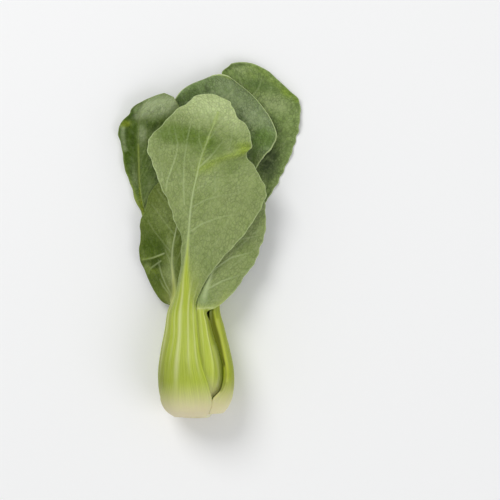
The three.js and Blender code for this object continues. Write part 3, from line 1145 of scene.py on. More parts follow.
@dataclass(frozen=True)
class LeafFinish:
    """A leaf's colours and gloss.

    Attributes:
        back: The blade's back.
        face: The blade's upper face.
        deep: Its deepest green, which also paints shade under folds and over bends.
        dusk: Its darkest green: painted shade in its folds and hollows, and the dark of its blots and cells.
        pale: Its palest green, which also paints highlights and sheen.
        gold: Its yellow green, which also paints light glowing through folds and curled margins.
        vein: Its veins and midrib.
        rim: Its margin.
        stem: The stem between its ridges.
        stem_deep: The stem's grooves.
        stem_pale: The stem's pale strings, and painted highlights along its ridges and margins.
        stem_dusk: The stem in shade.
        foot: The stem's base.
        strand: The strands' ends and dry marks on the stem's cut.
        rim_share: How strongly the margin shows.
        scaly: How strongly the net of small cells over the blade shows.
        mottle: How strongly small blots darken and pale the blade.
        rough: Roughness of the skin.
        gloss: Strength of its sheen.
    """

    back: str = "#8f9e5f"
    face: str = "#73874f"
    deep: str = "#5c7610"
    dusk: str = "#2b3d0a"
    pale: str = "#bbca8c"
    gold: str = "#9db23e"
    vein: str = "#b4c48c"
    rim: str = "#c6d69c"
    stem: str = "#b9c846"
    stem_deep: str = "#9fae2c"
    stem_pale: str = "#d2d896"
    stem_dusk: str = "#585e08"
    foot: str = "#ece0b8"
    strand: str = "#a89c62"
    rim_share: float = 0.5
    scaly: float = 0.3
    mottle: float = 0.0
    rough: float = 0.46
    gloss: float = 0.32

    def material(self, name: str) -> bpy.types.Material:
        """Builds the finish.

        Args:
            name: The material's name.

        Returns:
            The material, which reads the facts kept on the leaf's points.
        """
        material = bpy.data.materials.new(name)
        material.use_nodes = True
        g = Graph(material.node_tree)
        stem, along = g.fact("stem"), g.fact("along")
        skin = g.vector(g.fact("across"), along)
        lanes = g.vector(g.fact("lane"), g.times(along, 0.035))
        fine = g.noise(skin, 0.8, 4.0, 0.65)
        streak = g.noise(lanes, 1.1, 4.0, 0.65)
        wander = self._wander(g, along, fine)
        patch = g.spread(g.noise(skin, 0.11, 2.0), 0.35, 0.65, 0.55, 1.0)
        crackle = g.times(g.spread(self._cells(g, wander, CELL_SCALE), 0.0, 0.14, 1.0, 0.0), patch)
        blade = self._blade(g, skin, fine, wander, crackle)
        height = g.math("SUBTRACT", g.times(fine, 0.5), g.times(crackle, 0.6))
        leafy = g.times(height, g.math("SUBTRACT", 1.0, stem))
        height = g.math("ADD", leafy, g.times(g.times(streak, 0.6), stem))
        bump = g.node("ShaderNodeBump", {"Strength": 0.5, "Distance": 0.0005, "Height": height})
        shader = g.node(
            "ShaderNodeBsdfPrincipled",
            {
                "Base Color": g.mix(stem, blade, self._flesh(g, along, lanes, streak)),
                "Roughness": g.spread(fine, 0.3, 0.7, self.rough - 0.06, self.rough + 0.08),
                "Normal": bump.outputs["Normal"],
                "Specular IOR Level": self.gloss,
                "Subsurface Weight": 0.18,
                "Subsurface Scale": 0.0025,
                "Subsurface Radius": (0.7, 1.0, 0.3),
            },
        )
        g.node("ShaderNodeOutputMaterial", {"Surface": shader.outputs[0]})
        return material

    def _blade(self, g: Graph, skin: Socket, fine: Socket, wander: Socket, crackle: Socket) -> Socket:
        """The blade's colour.

        Args:
            g: The material's nodes.
            skin: Places on the skin, in mm across and along.
            fine: A fine noise on the skin.
            wander: Places that follow the side veins.
            crackle: The lines between the small cells.

        Returns:
            The colour, from broad patches to cells, veins and the rim.
        """
        broad = g.noise(skin, 0.06, 3.0)
        blots = g.noise(skin, 0.3, 4.0, 0.6)
        net = g.spread(self._cells(g, wander, 0.22), 0.0, 0.08, 1.0, 0.0)
        cells = g.node("ShaderNodeTexVoronoi", {"Vector": wander, "Scale": CELL_SCALE}).outputs["Color"]
        tone = g.node("ShaderNodeSeparateColor", {0: cells}).outputs[0]
        veins = g.times(g.spread(g.fact("vein_away"), 0.15, 0.75, 1.0, 0.0), g.fact("vein"))
        off = g.math("DIVIDE", g.fact("across"), g.fact("rib_reach"))
        ribbed = g.math("EXPONENT", g.times(off, off, -1.0))
        return g.coats(
            g.mix(g.fact("side"), self.back, self.face),
            (g.spread(broad, 0.42, 0.72, 0.0, 0.25), self.deep),
            # the deep, pale and gold tints are partly painted shade, highlights and light through folds, and
            # the dusk tint is painted shade
            (g.fact("deep"), self.deep),
            (g.fact("pale"), self.pale),
            (g.fact("gold"), self.gold),
            (g.fact("dusk"), self.dusk),
            (g.spread(blots, 0.48, 0.72, 0.0, self.mottle), self.dusk),
            (g.spread(blots, 0.28, 0.5, self.mottle, 0.0), self.pale),
            (g.spread(fine, 0.45, 0.8, 0.0, 0.2), self.pale),
            (g.spread(tone, 0.2, 1.0, 0.0, 0.18 * self.scaly), self.pale),
            (g.spread(tone, 0.0, 0.6, 0.3 * self.scaly, 0.0), self.dusk),
            (g.times(crackle, self.scaly), self.dusk),
            (g.times(net, g.spread(g.fact("deep"), 0, 1, 0.2, 0.35)), self.deep),
            (g.times(veins, 0.65), self.vein),
            (g.times(ribbed, g.fact("rib"), 0.8), self.vein),
            (g.times(g.spread(g.fact("margin"), 0.55, 0.9), self.rim_share), self.rim),
        )

    def _flesh(self, g: Graph, along: Socket, lanes: Socket, streak: Socket) -> Socket:
        """The stem's colour.

        Args:
            g: The material's nodes.
            along: How far each point is from the base, in mm.
            lanes: Places drawn out along the strings.
            streak: A noise drawn out along the strings.

        Returns:
            The colour, with the strings' ends on the cut.
        """
        thread = g.noise(lanes, 3.4, 2.0, 0.5)
        place = g.node("ShaderNodeTexCoord").outputs["Object"]
        cut = g.spread(along, 0.2, 1.8, 1.0, 0.0)
        ends = g.node("ShaderNodeTexVoronoi", {"Vector": place, "Scale": 480.0}).outputs["Distance"]
        dry = g.spread(g.noise(place, 240.0), 0.45, 0.75, 0.0, 0.35)
        marks = g.math("ADD", g.spread(ends, 0.14, 0.26, 0.5, 0.0), dry)
        return g.coats(
            g.mix(g.spread(streak, 0.35, 0.7), self.stem_deep, self.stem),
            # painted highlight along the ridge crests, then the painted highlights and painted shade of the
            # tints
            (g.times(g.fact("ridge"), g.spread(along, 12, 36, 0.1, 0.8)), self.stem_pale),
            (g.fact("pale"), self.stem_pale),
            (g.spread(thread, 0.5, 0.85, 0.0, 0.3), self.stem_pale),
            (g.fact("foot"), self.foot),
            (g.fact("dusk"), self.stem_dusk),
            (g.math("MULTIPLY", cut, marks, clamp=True), self.strand),
        )

    @staticmethod
    def _wander(g: Graph, along: Socket, fine: Socket) -> Socket:
        """Places on the skin drawn out along the side veins, and a little stirred.

        Args:
            g: The material's nodes.
            along: How far each point is from the base, in mm.
            fine: A fine noise on the skin.

        Returns:
            The places.
        """
        away = g.math("ABSOLUTE", g.fact("across"))
        off_vein = g.math("SUBTRACT", g.times(along, 0.5), away)
        down_vein = g.math("ADD", g.times(away, 0.35), g.times(along, 0.7))
        inputs = {0: g.vector(off_vein, down_vein), 1: g.vector(fine, fine)}
        return g.node("ShaderNodeVectorMath", inputs, operation="ADD").outputs[0]

    @staticmethod
    def _cells(g: Graph, place: Socket, scale: float) -> Socket:
        """Distance to the edge of the nearest cell of a net over the skin."""
        inputs = {"Vector": place, "Scale": scale}
        return g.node("ShaderNodeTexVoronoi", inputs, feature="DISTANCE_TO_EDGE").outputs["Distance"]


def straight(rows: tuple[float, ...], start: float, stop: float) -> tuple[Point3, ...]:
    """A stem whose margins keep their directions over rows of plan y."""
    return tuple((y, start, stop) for y in rows)


FRONT = LeafForm(
    ring=Ring(radius=24, mid=111, shift=2, toward=291),
    thick=4.8,
    ridges=(
        Ridge(-0.62, 0.06, 0.2, 40),
        Ridge(-0.24, 0.11, 0.45, 22),
        Ridge(0.36, 0.08, 0.35, 40),
        Ridge(0.76, 0.06, 0.3, 36),
    ),
    phase=0.6,
    cells=(128, 0.48),
    stem=(
        (OUTER_BASE, 161, 66),
        (410, 161, 66),
        (400, 160, 66.5),
        (385, 146.5, 72.5),
        (365, 143, 81),
        (335, 139.4, 85.5),
        (310, 145, 86),
    ),
    blade=(
        ((175, 297, 27), (185, 297, 31), (196.5, 303, 28.7)),
        ((178, 281, 27.5), (186, 277, 31), (205, 283, 28.5)),
        ((181, 261, 28.5), (187.5, 255, 31), (220, 262, 28)),
        ((181, 240, 28.5), (189, 232, 30.5), (243, 236, 27)),
        ((173.5, 217, 27), (191, 208, 30), (262, 207, 25)),
        ((164.5, 195, 26), (194, 189, 29.5), (266, 188, 24)),
        ((157.5, 177, 25.5), (197.5, 174, 29), (258.5, 173, 23.5)),
        ((151.5, 163, 25.5), (200, 162, 28.8), (251.5, 163, 23.3)),
        ((147.8, 151, 25.5), (203, 152.5, 28.5), (246.5, 155, 24.6)),
        ((148.5, 142, 25.5), (206.5, 144, 28.3), (251.5, 149, 27.2)),
        ((153, 133, 25.5), (210, 134, 28), (250.6, 137, 27.6)),
        ((162, 125, 25.2), (213.5, 126, 27.7), (247, 126, 26.8)),
        ((171, 115.5, 24.7), (216.5, 117, 26.8), (238.5, 117, 25.8)),
        ((181, 106.5, 24), (216, 108, 25.6), (233, 108, 24.6)),
        ((187.8, 102, 23.2), (212, 100.5, 24.2), (229.8, 102.3, 23.8)),
        ((193.4, 96.8, 22.4), (208.3, 93.6, 22.8), (221.3, 97.2, 22.6)),
    ),
    folds=(
        Fold(((199, 169), (210, 161.5), (222, 157.5), (235, 154.5), (247, 151)), 1.3, 1.5),
        Fold(((203, 171), (213, 166), (224, 162.5), (236, 160), (246, 158.5)), -0.9, 1.6),
        Fold(((236, 146), (243, 143), (250, 143)), 0.9, 1.3),
        Fold(((152, 150), (165, 146), (180, 146)), -0.4, 3.0),
    ),
    veins=(
        Vein(((166.5, 203), (166.5, 190), (168, 180), (171, 171), (174, 163), (176.5, 155), (178, 145)), 1.0),
        Vein(((178, 144), (176.5, 138), (174.5, 129), (173.5, 120)), 0.35),
        Vein(((184.5, 205), (184, 190), (184, 172), (184.7, 160), (186, 150), (187.5, 140)), 0.65),
        Vein(((187.5, 140), (189.5, 130), (191.5, 121), (193, 113)), 0.4),
        Vein(((168, 196), (164, 182), (161, 170), (160, 160), (159.7, 148), (161, 137)), 0.4),
        Vein(((203, 152), (200, 143), (199, 134), (200, 124), (201.5, 114)), 0.28),
        Vein(((198.5, 168.5), (205, 162.5), (210, 157.5), (216, 150.5), (222, 143)), 0.6),
        Vein(((208, 141), (214, 134), (219, 126), (222, 118)), 0.3),
        Vein(((229, 150), (231.5, 140), (232.5, 128), (233, 119)), 0.25),
        Vein(((215.4, 193), (215.2, 180), (214.8, 171), (216, 160)), 0.3),
        Vein(((196, 190), (206, 183), (217, 178.5), (229, 175), (240, 174)), 0.2),
        Vein(((239, 192), (237, 182), (237.5, 172), (240, 163)), 0.25),
        Vein(((193, 207), (205, 200.5), (220, 196), (240, 193)), 0.45),
        Vein(((190, 232), (202, 224), (218, 218), (238, 214)), 0.6),
    ),
    faint=0.12,
)
LEFT_LOWER = LeafForm(
    ring=Ring(radius=20.2, mid=190, shift=2.6, toward=240),
    thick=4.8,
    ridges=(Ridge(-0.7, 0.1, 0.35), Ridge(-0.3, 0.1, 0.35), Ridge(0.2, 0.1, 0.35), Ridge(0.64, 0.09, 0.4)),
    phase=2.1,
    cells=(104, 0.5),
    frill=0.15,
    stem=(
        (OUTER_BASE, 238, 160.5),
        (408, 239, 160.5),
        (397, 238, 155),
        (378, 238, 142),
        (350, 236, 140),
        (330, 234, 140),
        (310, 232, 140),
    ),
    blade=(
        ((160.6, 301.5, 9.5), (174.4, 294, 18.1), (180, 296, 23.8)),
        ((150.4, 286, 8), (174, 280, 19.5), (184, 280, 24)),
        ((141.2, 266, 7.5), (172.5, 264, 21), (188, 262, 24.5)),
        ((138.1, 247, 8), (173, 248, 22), (193, 244, 24.5)),
        ((139, 230, 9), (176, 231, 22.5), (199, 224, 24)),
        ((142.5, 213, 10.5), (180.5, 211, 22.5), (203, 204, 23.5)),
        ((148, 197, 12.5), (184, 194, 21.5), (202, 188, 22.5)),
        ((158, 182, 14.5), (186, 180, 20.5), (198, 174, 21)),
        ((172, 169, 16.5), (187, 168, 19), (195, 166, 19.5)),
        ((182, 163, 17.5), (187.5, 161, 18), (191, 162, 18)),
    ),
    folds=(
        Fold(((168, 251), (160, 255.5), (152, 257.2), (145.5, 258.8)), 1.0, 1.2),
        Fold(((160, 262), (154, 265.5), (150, 269.5)), 0.9, 1.1),
        Fold(((164, 258), (157, 261.5), (151, 264)), -0.8, 1.3),
        Fold(((170, 243), (158, 247), (145, 248)), -1.2, 4.5),
    ),
    veins=(
        Vein(((173.5, 297), (166.5, 286), (162, 276), (159.3, 266), (158, 260)), 0.9),
        Vein(((170, 295), (163, 286.5), (159.5, 279.5)), 0.8),
        Vein(((164, 253.5), (153, 257.7), (142, 260)), 0.9),
        Vein(((160.5, 261), (152, 267.3), (146.4, 275)), 0.7),
        Vein(((172.5, 254), (163, 243), (155, 232), (148, 221)), 0.35),
        Vein(((175.5, 236), (167, 225), (158, 213), (151, 204)), 0.35),
        Vein(((179, 219), (171, 207), (163, 197), (157, 189)), 0.3),
        Vein(((173, 270), (169, 258), (165, 250)), 0.5),
    ),
    faint=0.25,
)
LEFT_BACK = LeafForm(
    ring=Ring(radius=15.2, mid=213),
    thick=3.6,
    turn=Turn.FACE_UP,
    trough=4.6,
    floor=FLAT_LIFT,
    phase=0.3,
    cells=(108, 0.5),
    frill=0.13,
    stem=((402, 255, 176), (390, 255, 172), (370, 255, 172), (340, 255, 176), (310, 255, 186)),
    blade=(
        ((178, 293, 12.5), (181, 290, 9.5), (188, 292, 7)),
        ((167, 272, 8), (172, 268, 7.5), (182, 268, 7.5)),
        ((152, 247, 4.5), (157, 242, 6.5), (170, 240, 8.5)),
        ((141.2, 217, 3.5), (147, 217, 6), (166, 214, 10)),
        ((135.8, 198.5, 3.5), (141.2, 197, 6), (172, 190, 11)),
        ((127.4, 179, 3.5), (139, 178, 6), (180, 168, 12)),
        ((122.9, 158, 3.5), (138.3, 158, 6.5), (186, 148, 12.5)),
        ((119, 140, 4), (138, 142, 7), (187, 130, 13)),
        ((117.9, 129, 4.8), (138, 130, 7.6), (185, 119, 13.3)),
        ((121.3, 120, 6.2), (138.5, 120, 8.4), (181, 109, 13.5)),
        ((129, 113, 7.8), (141, 109.5, 9.6), (175.6, 99.2, 13.5)),
        ((133.3, 105.8, 9), (147, 101.8, 10.8), (171.2, 95.3, 13.3)),
        ((141, 101.6, 10), (152.5, 95.8, 11.6), (163.5, 92.4, 12.8)),
    ),
    folds=(
        Fold(((134, 150), (130, 133), (131, 120), (132, 110)), -1.6, 2.0),
        Fold(((128, 150), (125.5, 138), (126, 128), (120.5, 124)), 1.2, 1.3),
        Fold(((139, 135), (139, 124), (136, 114)), 0.9, 1.6),
        Fold(((146, 128), (152, 122), (160, 119)), -1.0, 1.8),
        Fold(((134, 119), (145, 116), (158, 112)), 0.7, 2.2),
    ),
    veins=(
        Vein(((139, 180), (144, 165), (149, 150), (151, 138)), 0.35),
        Vein(((139.5, 165), (145, 148), (147, 134), (145, 120)), 0.35),
        Vein(((143, 205), (149, 188), (156, 172), (160, 160)), 0.35),
        Vein(((141, 112), (149, 107), (158, 103), (167, 101)), 0.35),
        Vein(((140, 118), (150, 114), (162, 110)), 0.35),
    ),
    faint=0.3,
)
CENTRE_BACK = LeafForm(
    ring=Ring(radius=15.2, mid=303),
    thick=3.6,
    turn=Turn.FACE_UP,
    phase=1.2,
    cells=(112, 0.56),
    frill=0.12,
    stem=straight((402, 390, 370, 340, 310), 345, 262),
    blade=(
        ((190, 293, 7), (203, 293, 8), (213, 294, 12)),
        ((187, 268, 7), (204, 268, 7.5), (221, 272, 9.5)),
        ((183, 236, 7), (207, 236, 7.5), (233, 240, 9)),
        ((178, 204, 7), (211, 204, 7.5), (243, 210, 9)),
        ((172, 172, 7.5), (215, 172, 8), (249.5, 181, 9)),
        ((169, 145, 8), (218, 146, 8), (261.5, 160, 10)),
        ((168, 125, 8), (220, 124, 8.5), (274, 144, 11.5)),
        ((171, 108, 8), (221.5, 104, 9), (275.8, 128, 12.5)),
        ((177.3, 93.6, 9), (222, 90, 10), (262, 105.5, 12.5)),
        ((189.6, 83.8, 9.5), (222, 80, 10.5), (247, 89, 12.5)),
        ((205, 78, 10), (219, 73.2, 11), (231.5, 76.8, 12)),
    ),
    folds=(
        Fold(((206, 98), (206.5, 91), (206, 85)), -0.9, 1.5),
        Fold(((212, 98), (214, 88), (215, 83)), 0.4, 2.5),
        Fold(((250, 150), (258, 140), (268, 133)), -0.8, 3.5),
        Fold(((185, 100), (192, 92), (199, 84)), 0.6, 2.2),
    ),
    veins=(
        Vein(((255, 165), (259, 152), (263, 144), (268, 138))),
        Vein(((222, 100), (231, 92), (237, 84))),
        Vein(((221, 118), (235, 106), (246, 99))),
        Vein(((220, 140), (238, 126), (256, 117), (266, 114))),
        Vein(((252, 130), (259, 124), (270, 122))),
    ),
    faint=0.3,
)
TOP_BACK = LeafForm(
    ring=Ring(radius=16, mid=268, shift=4.8, toward=268),
    thick=4.8,
    turn=Turn.FACE_UP,
    floor=FLAT_LIFT,
    ridges=(Ridge(-0.5), Ridge(0), Ridge(0.5)),
    phase=2.6,
    cells=(108, 0.62),
    stem=(
        (OUTER_BASE, 305, 239.3),
        (408, 308, 233),
        *straight((395, 378, 350, 330, 310), 315, 219),
    ),
    blade=(
        ((181, 292, 5.5), (195, 292, 3.2), (209, 293, 4.5)),
        ((186, 265, 3), (200, 266, 2.2), (220, 268, 3)),
        ((192, 232, 2), (210, 235, 1.8), (240, 240, 2)),
        ((200, 195, 1), (222, 200, 1.8), (262, 208, 1)),
        ((208, 160, 1), (233, 166, 2), (281, 176, 0.5)),
        ((214, 128, 1.5), (241, 134, 2.2), (294, 146, 1)),
        ((217, 102, 2.5), (247, 106, 3), (300, 120, 2)),
        ((219, 84, 3.5), (250, 86, 4), (298.8, 98, 3.5)),
        ((222.6, 70.2, 5), (250, 72.5, 5), (285.8, 85.5, 4.5)),
        ((231.3, 62, 5.5), (249, 61.4, 6), (269.5, 70.6, 5.5)),
    ),
    folds=(
        Fold(((234, 66), (237, 76), (239, 88)), -0.5, 2.5),
        Fold(((240, 84), (256, 85), (272, 90)), -0.9, 3.0),
        Fold(((262, 69), (275, 81), (290, 93)), 0.6, 2.2),
    ),
    veins=(
        Vein(((249, 98), (258, 88), (262, 78))),
        Vein(((249, 98), (243, 86), (238, 74))),
        Vein(((248, 118), (268, 106), (285, 98))),
    ),
    faint=0.25,
)
RIGHT_OUTER = LeafForm(
    ring=Ring(radius=21.5, mid=-15, shift=0.5, toward=345),
    thick=4.8,
    ridges=(Ridge(-0.84, 0.08, 0.3, 30), Ridge(-0.1, 0.1, 0.35), Ridge(0.4, 0.1, 0.35)),
    lip=1.2,
    phase=0.9,
    cells=(96, 0.6),
    stem=(
        (413.4, 62.4, -58),
        (408, 62.8, -58),
        (398, 62, -58),
        (391, 49.5, -58),
        (384, 44.3, -58),
        (371, 40.5, -58),
        (351, 42.5, -58),
        (337, 49, -58),
        (325, 51.5, -58),
        (310, 47.5, -58),
    ),
    blade=(
        ((214, 297, 21.5), (221, 294, 15), (216, 296, 8)),
        ((218, 280, 21.5), (230, 276, 18), (230, 280, 10)),
        ((224, 258, 20.5), (239, 254, 19), (250, 262, 11)),
        ((229, 235, 19.5), (245, 232, 19), (262, 238, 12)),
        ((233, 212, 18.5), (248, 210, 18), (263, 213, 13)),
        ((238, 192, 17.5), (249, 190, 17), (258, 192, 14)),
        ((244, 178, 16), (248, 176, 16), (252, 178, 15)),
    ),
)
RIGHT_INNER = LeafForm(
    ring=Ring(radius=17.3, mid=66),
    thick=4,
    ridges=(
        Ridge(-0.5, 0.07, 0.2, 36),
        Ridge(-0.15, 0.07, 0.2, 36),
        Ridge(0.28, 0.07, 0.4, 16),
        Ridge(0.82, 0.12, 0.3, 16),
    ),
    phase=1.9,
    cells=(100, 0.52),
    stem=(
        (402, 96, 58),
        (397, 96, 54),
        (391, 96, 38),
        (384, 96, 28),
        (370, 96, 19),
        (352, 97, 24),
        (337, 98, 34.5),
        (323, 99, 38),
        (312, 100, 47.5),
    ),
    blade=(
        ((193, 306.5, 27.2), (202, 306, 27.8), (213, 308.8, 28.8)),
        ((193, 301, 26.8), (203.5, 300, 27.4), (220.5, 304.5, 26.6)),
        ((194, 294, 26.3), (205.5, 292, 26.9), (229, 297, 25)),
        ((197, 281, 25.5), (210, 277, 26), (238, 287, 22)),
        ((199, 270, 25), (214, 266, 25.2), (245, 277, 20)),
        ((206, 248, 24), (223, 244, 24), (258, 256, 18)),
        ((213, 225, 23), (232, 222, 23), (265, 232, 17.5)),
        ((220, 203, 22), (239, 202, 21.5), (266, 208, 18)),
        ((227, 186, 21), (244, 186, 20.5), (261, 190, 18.5)),
        ((237, 174, 19.5), (243, 172, 19.5), (250, 175, 19)),
    ),
    veins=(
        Vein(((202, 302), (211, 301), (220, 300), (228, 296.5))),
        Vein(((206, 290), (222, 281), (240, 275))),
        Vein(((213, 270), (230, 258), (252, 252))),
        Vein(((221, 250), (236, 240), (258, 236))),
    ),
)
HEART_FRONT = LeafForm(
    ring=Ring(radius=10.6, mid=90),
    thick=2.8,
    wave=0.6,
    cells=(56, 0.9),
    stem=straight((393, 370, 340, 310), 145, 35),
    blade=(
        ((184, 290, 20), (195, 289, 21.5), (206, 290, 20)),
        ((182, 265, 17.5), (197, 263, 19), (212, 266, 17.5)),
        ((184, 240, 16), (200, 238, 17), (216, 242, 15.5)),
        ((194, 218, 15), (201, 214, 15.5), (208, 219, 15)),
    ),
)
HEART_BACK = LeafForm(
    ring=Ring(radius=10.6, mid=260),
    thick=2.8,
    wave=0.6,
    turn=Turn.FACE_UP,
    cells=(56, 0.9),
    stem=straight((393, 370, 340, 310), 325, 195),
    blade=(
        ((184, 288, 14), (194, 288, 11.5), (204, 289, 13)),
        ((185, 262, 12.5), (197, 262, 11.5), (210, 263, 12.5)),
        ((193, 240, 12), (198, 238, 12), (203, 240, 12)),
    ),
)

FRONT_TINTS = Tints(
    deep=(
        # painted shade: the first four blots darken the band across the blade where it bends, the fifth the
        # strip under the crease
        Blot((177, 134), (23, 11), 0.95, 4, 4),
        Blot((202, 142), (14, 13), 0.75, 8, 3),
        Blot((216, 148), (9, 13), 0.5, -25, 3),
        Blot((234, 139), (12, 9), 0.3, 0),
        Blot((232, 166), (13, 6), 0.35, -12, 3),
        Blot((186, 160), (13, 16), 0.16, 0),
    ),
    pale=(
        # painted highlight where the tip curves up to the light
        Blot((208, 103), (34, 15), 0.95, 6, 3),
        Blot((236, 119), (10, 15), 0.8, -25),
        Blot((224, 111), (14, 10), 0.3, 0),
        Blot((152, 158), (5, 24), 0.35, -18),
        Blot((250, 174), (14, 12), 0.2, 30),
        Blot((208, 182), (12, 9), 0.25, 0),
    ),
    gold=(
        # painted light: this streak and the next blot glow yellow along the crest of the fold
        Streak(((200, 169.5), (210, 164), (222, 159), (235, 155), (247, 150.5)), 2.1, 0.75, 0.45),
        Blot((208, 168), (9, 5), 0.4, -25),
        Blot((244, 147), (8, 5), 0.8, 0),
        Streak(((194, 189), (199, 168), (205, 147), (213, 127), (218, 113)), 0.9, 0.5, 0.6),
    ),
    dusk=(
        # painted shade under the fold, down the bulb's left side and beside the rolled margin
        Streak(((208, 169.5), (222, 163), (236, 160), (246, 157)), 0.9, 0.3, 0.1),
        Streak(((170.5, 322), (167, 338), (164, 352), (161.4, 368), (161.8, 381)), 0.5, 0.45, 0.4),
        Streak(((166, 335), (162.5, 352), (160.5, 368), (160.8, 384)), 1.8, 0.45, 0.6),
        Blot((186, 372), (9, 14), 0.1),
        Blot((162, 382), (13, 34), 0.36, 4),
        Streak(((236, 149), (243, 146.5), (249, 147)), 0.45, 0.3, 0.3),
    ),
)
LEFT_LOWER_TINTS = Tints(
    deep=(
        # painted shade under a fold of the blade
        Blot((154, 247), (15, 13), 0.8, 0, 4),
        Blot((147, 228), (8, 16), 0.45, 0),
        Blot((157, 282), (9, 20), 0.4, -35, 4),
        Blot((158, 262), (6, 5), 0.6, 0, 3),
    ),
    pale=(
        # painted highlight on a small fold
        Blot((147, 266), (4, 2.6), 0.45, -30, 3),
        Blot((171, 271), (5, 20), 0.65, -4),
        Blot((169, 243), (2.4, 8), 0.45, -12, 3),
        Blot((165, 273), (5, 10), 0.3, -22, 3),
        Blot((171, 301), (4, 6), 0.35, 0),
        Blot((165, 215), (16, 18), 0.3, 0),
    ),
    gold=(
        Streak(((142, 259.5), (153, 257.7), (162, 254.5)), 0.5, 0.4, 1.0),
        Blot((151, 269), (6, 5), 0.4),
    ),
    dusk=(
        # painted shade beside the folds, in the gap beside the front stem and down the bulb's left side
        Blot((161.5, 249), (5.5, 7.5), 0.34, -15, 5),
        Blot((158, 299), (10, 3), 0.3, 40, 4),
        Blot((156.5, 265), (8.5, 4.6), 0.66, 0, 3),
        Blot((171, 290), (2.6, 10), 0.42, 8, 3),
        Blot((160, 378), (10, 32), 0.4, 4),
        Streak(((144, 262.5), (152, 260.5), (160, 258)), 0.7, 0.3, 0.8),
    ),
)
LEFT_BACK_TINTS = Tints(
    deep=(
        # painted shade in the trough where the left half folds down from the midrib
        Blot((131, 140), (5.5, 32), 0.9, 1, 4),
        Blot((123.5, 152), (4, 16), 0.5, -8, 3),
        Blot((151, 168), (8, 22), 0.5, -12, 3),
        # painted shade under a fold across the upper blade
        Blot((150, 124), (14, 5), 0.7, -8),
        Blot((143, 172), (4, 24), 0.4, 0),
    ),
    pale=(
        Blot((157, 104.5), (23, 10.5), 1.0, -12, 4),
        Blot((138.5, 112), (6, 6), 1.0, -20, 4),
        Blot((142, 133), (4, 9), 0.6, 0, 3),
        # painted highlight along the curled left margin
        Streak(((124.5, 149), (122.7, 140), (122, 132), (122.6, 126)), 1.3, 1.0, 0.5, 3),
        Blot((134, 181), (4, 16), 0.3, -12),
    ),
    gold=(
        # painted highlight where the curled lip catches the light
        Blot((124.5, 122.5), (5.5, 3.4), 1.0, -8, 3),
        Streak(((138, 144), (138.5, 165), (138.8, 180), (140.5, 195), (143.5, 212)), 0.55, 0.8, 0.7),
        Streak(((124, 158), (129, 178), (135.8, 198), (141.8, 217)), 0.8, 0.6, 0.0),
        Blot((140, 207), (3, 8), 0.5, -15),
    ),
    dusk=(
        # painted shade in the folds and where the front leaf shades this one
        Blot((132.5, 137), (2.4, 12), 0.4, 5, 3),
        Blot((132.8, 112), (1.6, 5), 0.4, -10, 3),
        Blot((147, 123), (3, 4), 0.5, 0, 3),
        Blot((156, 127), (7, 3.5), 0.6, -35, 3),
        Streak(((148, 166), (158, 182), (150, 195), (144.5, 206)), 1.1, 0.5, 0.6),
        Streak(((147, 140), (148.5, 152), (152, 163), (158, 178)), 1.3, 0.45, 1.0),
    ),
)
CENTRE_BACK_TINTS = Tints(
    deep=(
        # painted shade in the fold at the upper left
        Blot((195, 88), (20, 8), 0.6, -28, 3),
        Blot((264, 138), (13, 12), 0.95, -10, 3),
        # painted shade beside the front leaf's edge
        Blot((254, 148), (8, 18), 0.4, 0),
    ),
    # partly its own pale grey-green, partly painted sheen over the middle of the blade
    pale=(Blot((228, 92), (16, 14), 0.35, 30), Blot((252, 112), (12, 16), 0.5, -40)),
    gold=(Streak(((219, 73.4), (231, 77)), 0.8, 0.5, 1.0), Blot((258, 160), (7, 8), 0.25)),
    dusk=(
        # painted shade in the fold line and along the front leaf's edge
        Blot((206, 86), (1.8, 9), 0.5, 3),
        Blot((196, 90), (7, 3.5), 0.3, -25),
        Streak(((234, 105), (244, 119), (250, 130), (253, 145), (249, 154)), 2.2, 0.25, 0.5),
    ),
)
TOP_BACK_TINTS = Tints(
    deep=(
        Blot((260, 84), (20, 6), 0.95, 10, 3),
        Blot((237, 70), (2.4, 8), 0.6, -8),
        Blot((292, 104), (6, 8), 0.3),
        Blot((272, 120), (10, 6), 0.5),
    ),
    pale=(Blot((274, 102), (17, 9), 0.85, 20, 3), Blot((243, 69), (12, 5), 0.6, 8)),
    gold=(
        Streak(((250, 64), (262, 69), (275, 81), (290, 93), (297, 99)), 1.7, 0.7, 0.5),
        Blot((286, 92), (5, 3), 0.7, 40),
        Blot((251, 73), (6, 3), 0.35, 30),
    ),
    dusk=(
        Streak(((226, 69), (232, 64), (240, 62.5), (250, 63.5)), 0.6, 0.45, 1.0),
        # painted shade along the centre back leaf's right margin, which lies over this leaf, and in the
        # hollow beside the front leaf's right margin
        Streak(((236, 82), (248, 92), (260, 105), (271, 119), (277, 130)), 1.8, 0.4, 0.4),
        Blot((268, 160), (12, 20), 0.9, 0, 4),
    ),
)
RIGHT_OUTER_TINTS = Tints(
    # painted highlight down the stem's left side
    pale=(Streak(((217.5, 320), (220.5, 334), (223.6, 348), (226, 362), (226.6, 380)), 1.1, 0.85, 1.0, 3),),
    dusk=(
        # painted shade down the stem's right side, on its margin turned into the gap, and in the seam below
        Streak(((221, 312), (226, 332), (231, 352), (233.4, 370), (233.4, 388)), 1.4, 0.22, 1.0),
        Streak(((209.4, 308), (213, 325), (216.8, 337), (219.8, 351), (222, 363)), 1.95, 0.92, 1.0, 6),
        Streak(((222, 358), (224.8, 366), (225.6, 374), (224.6, 382), (221, 390)), 0.85, 0.5, 1.0, 4),
    ),
)
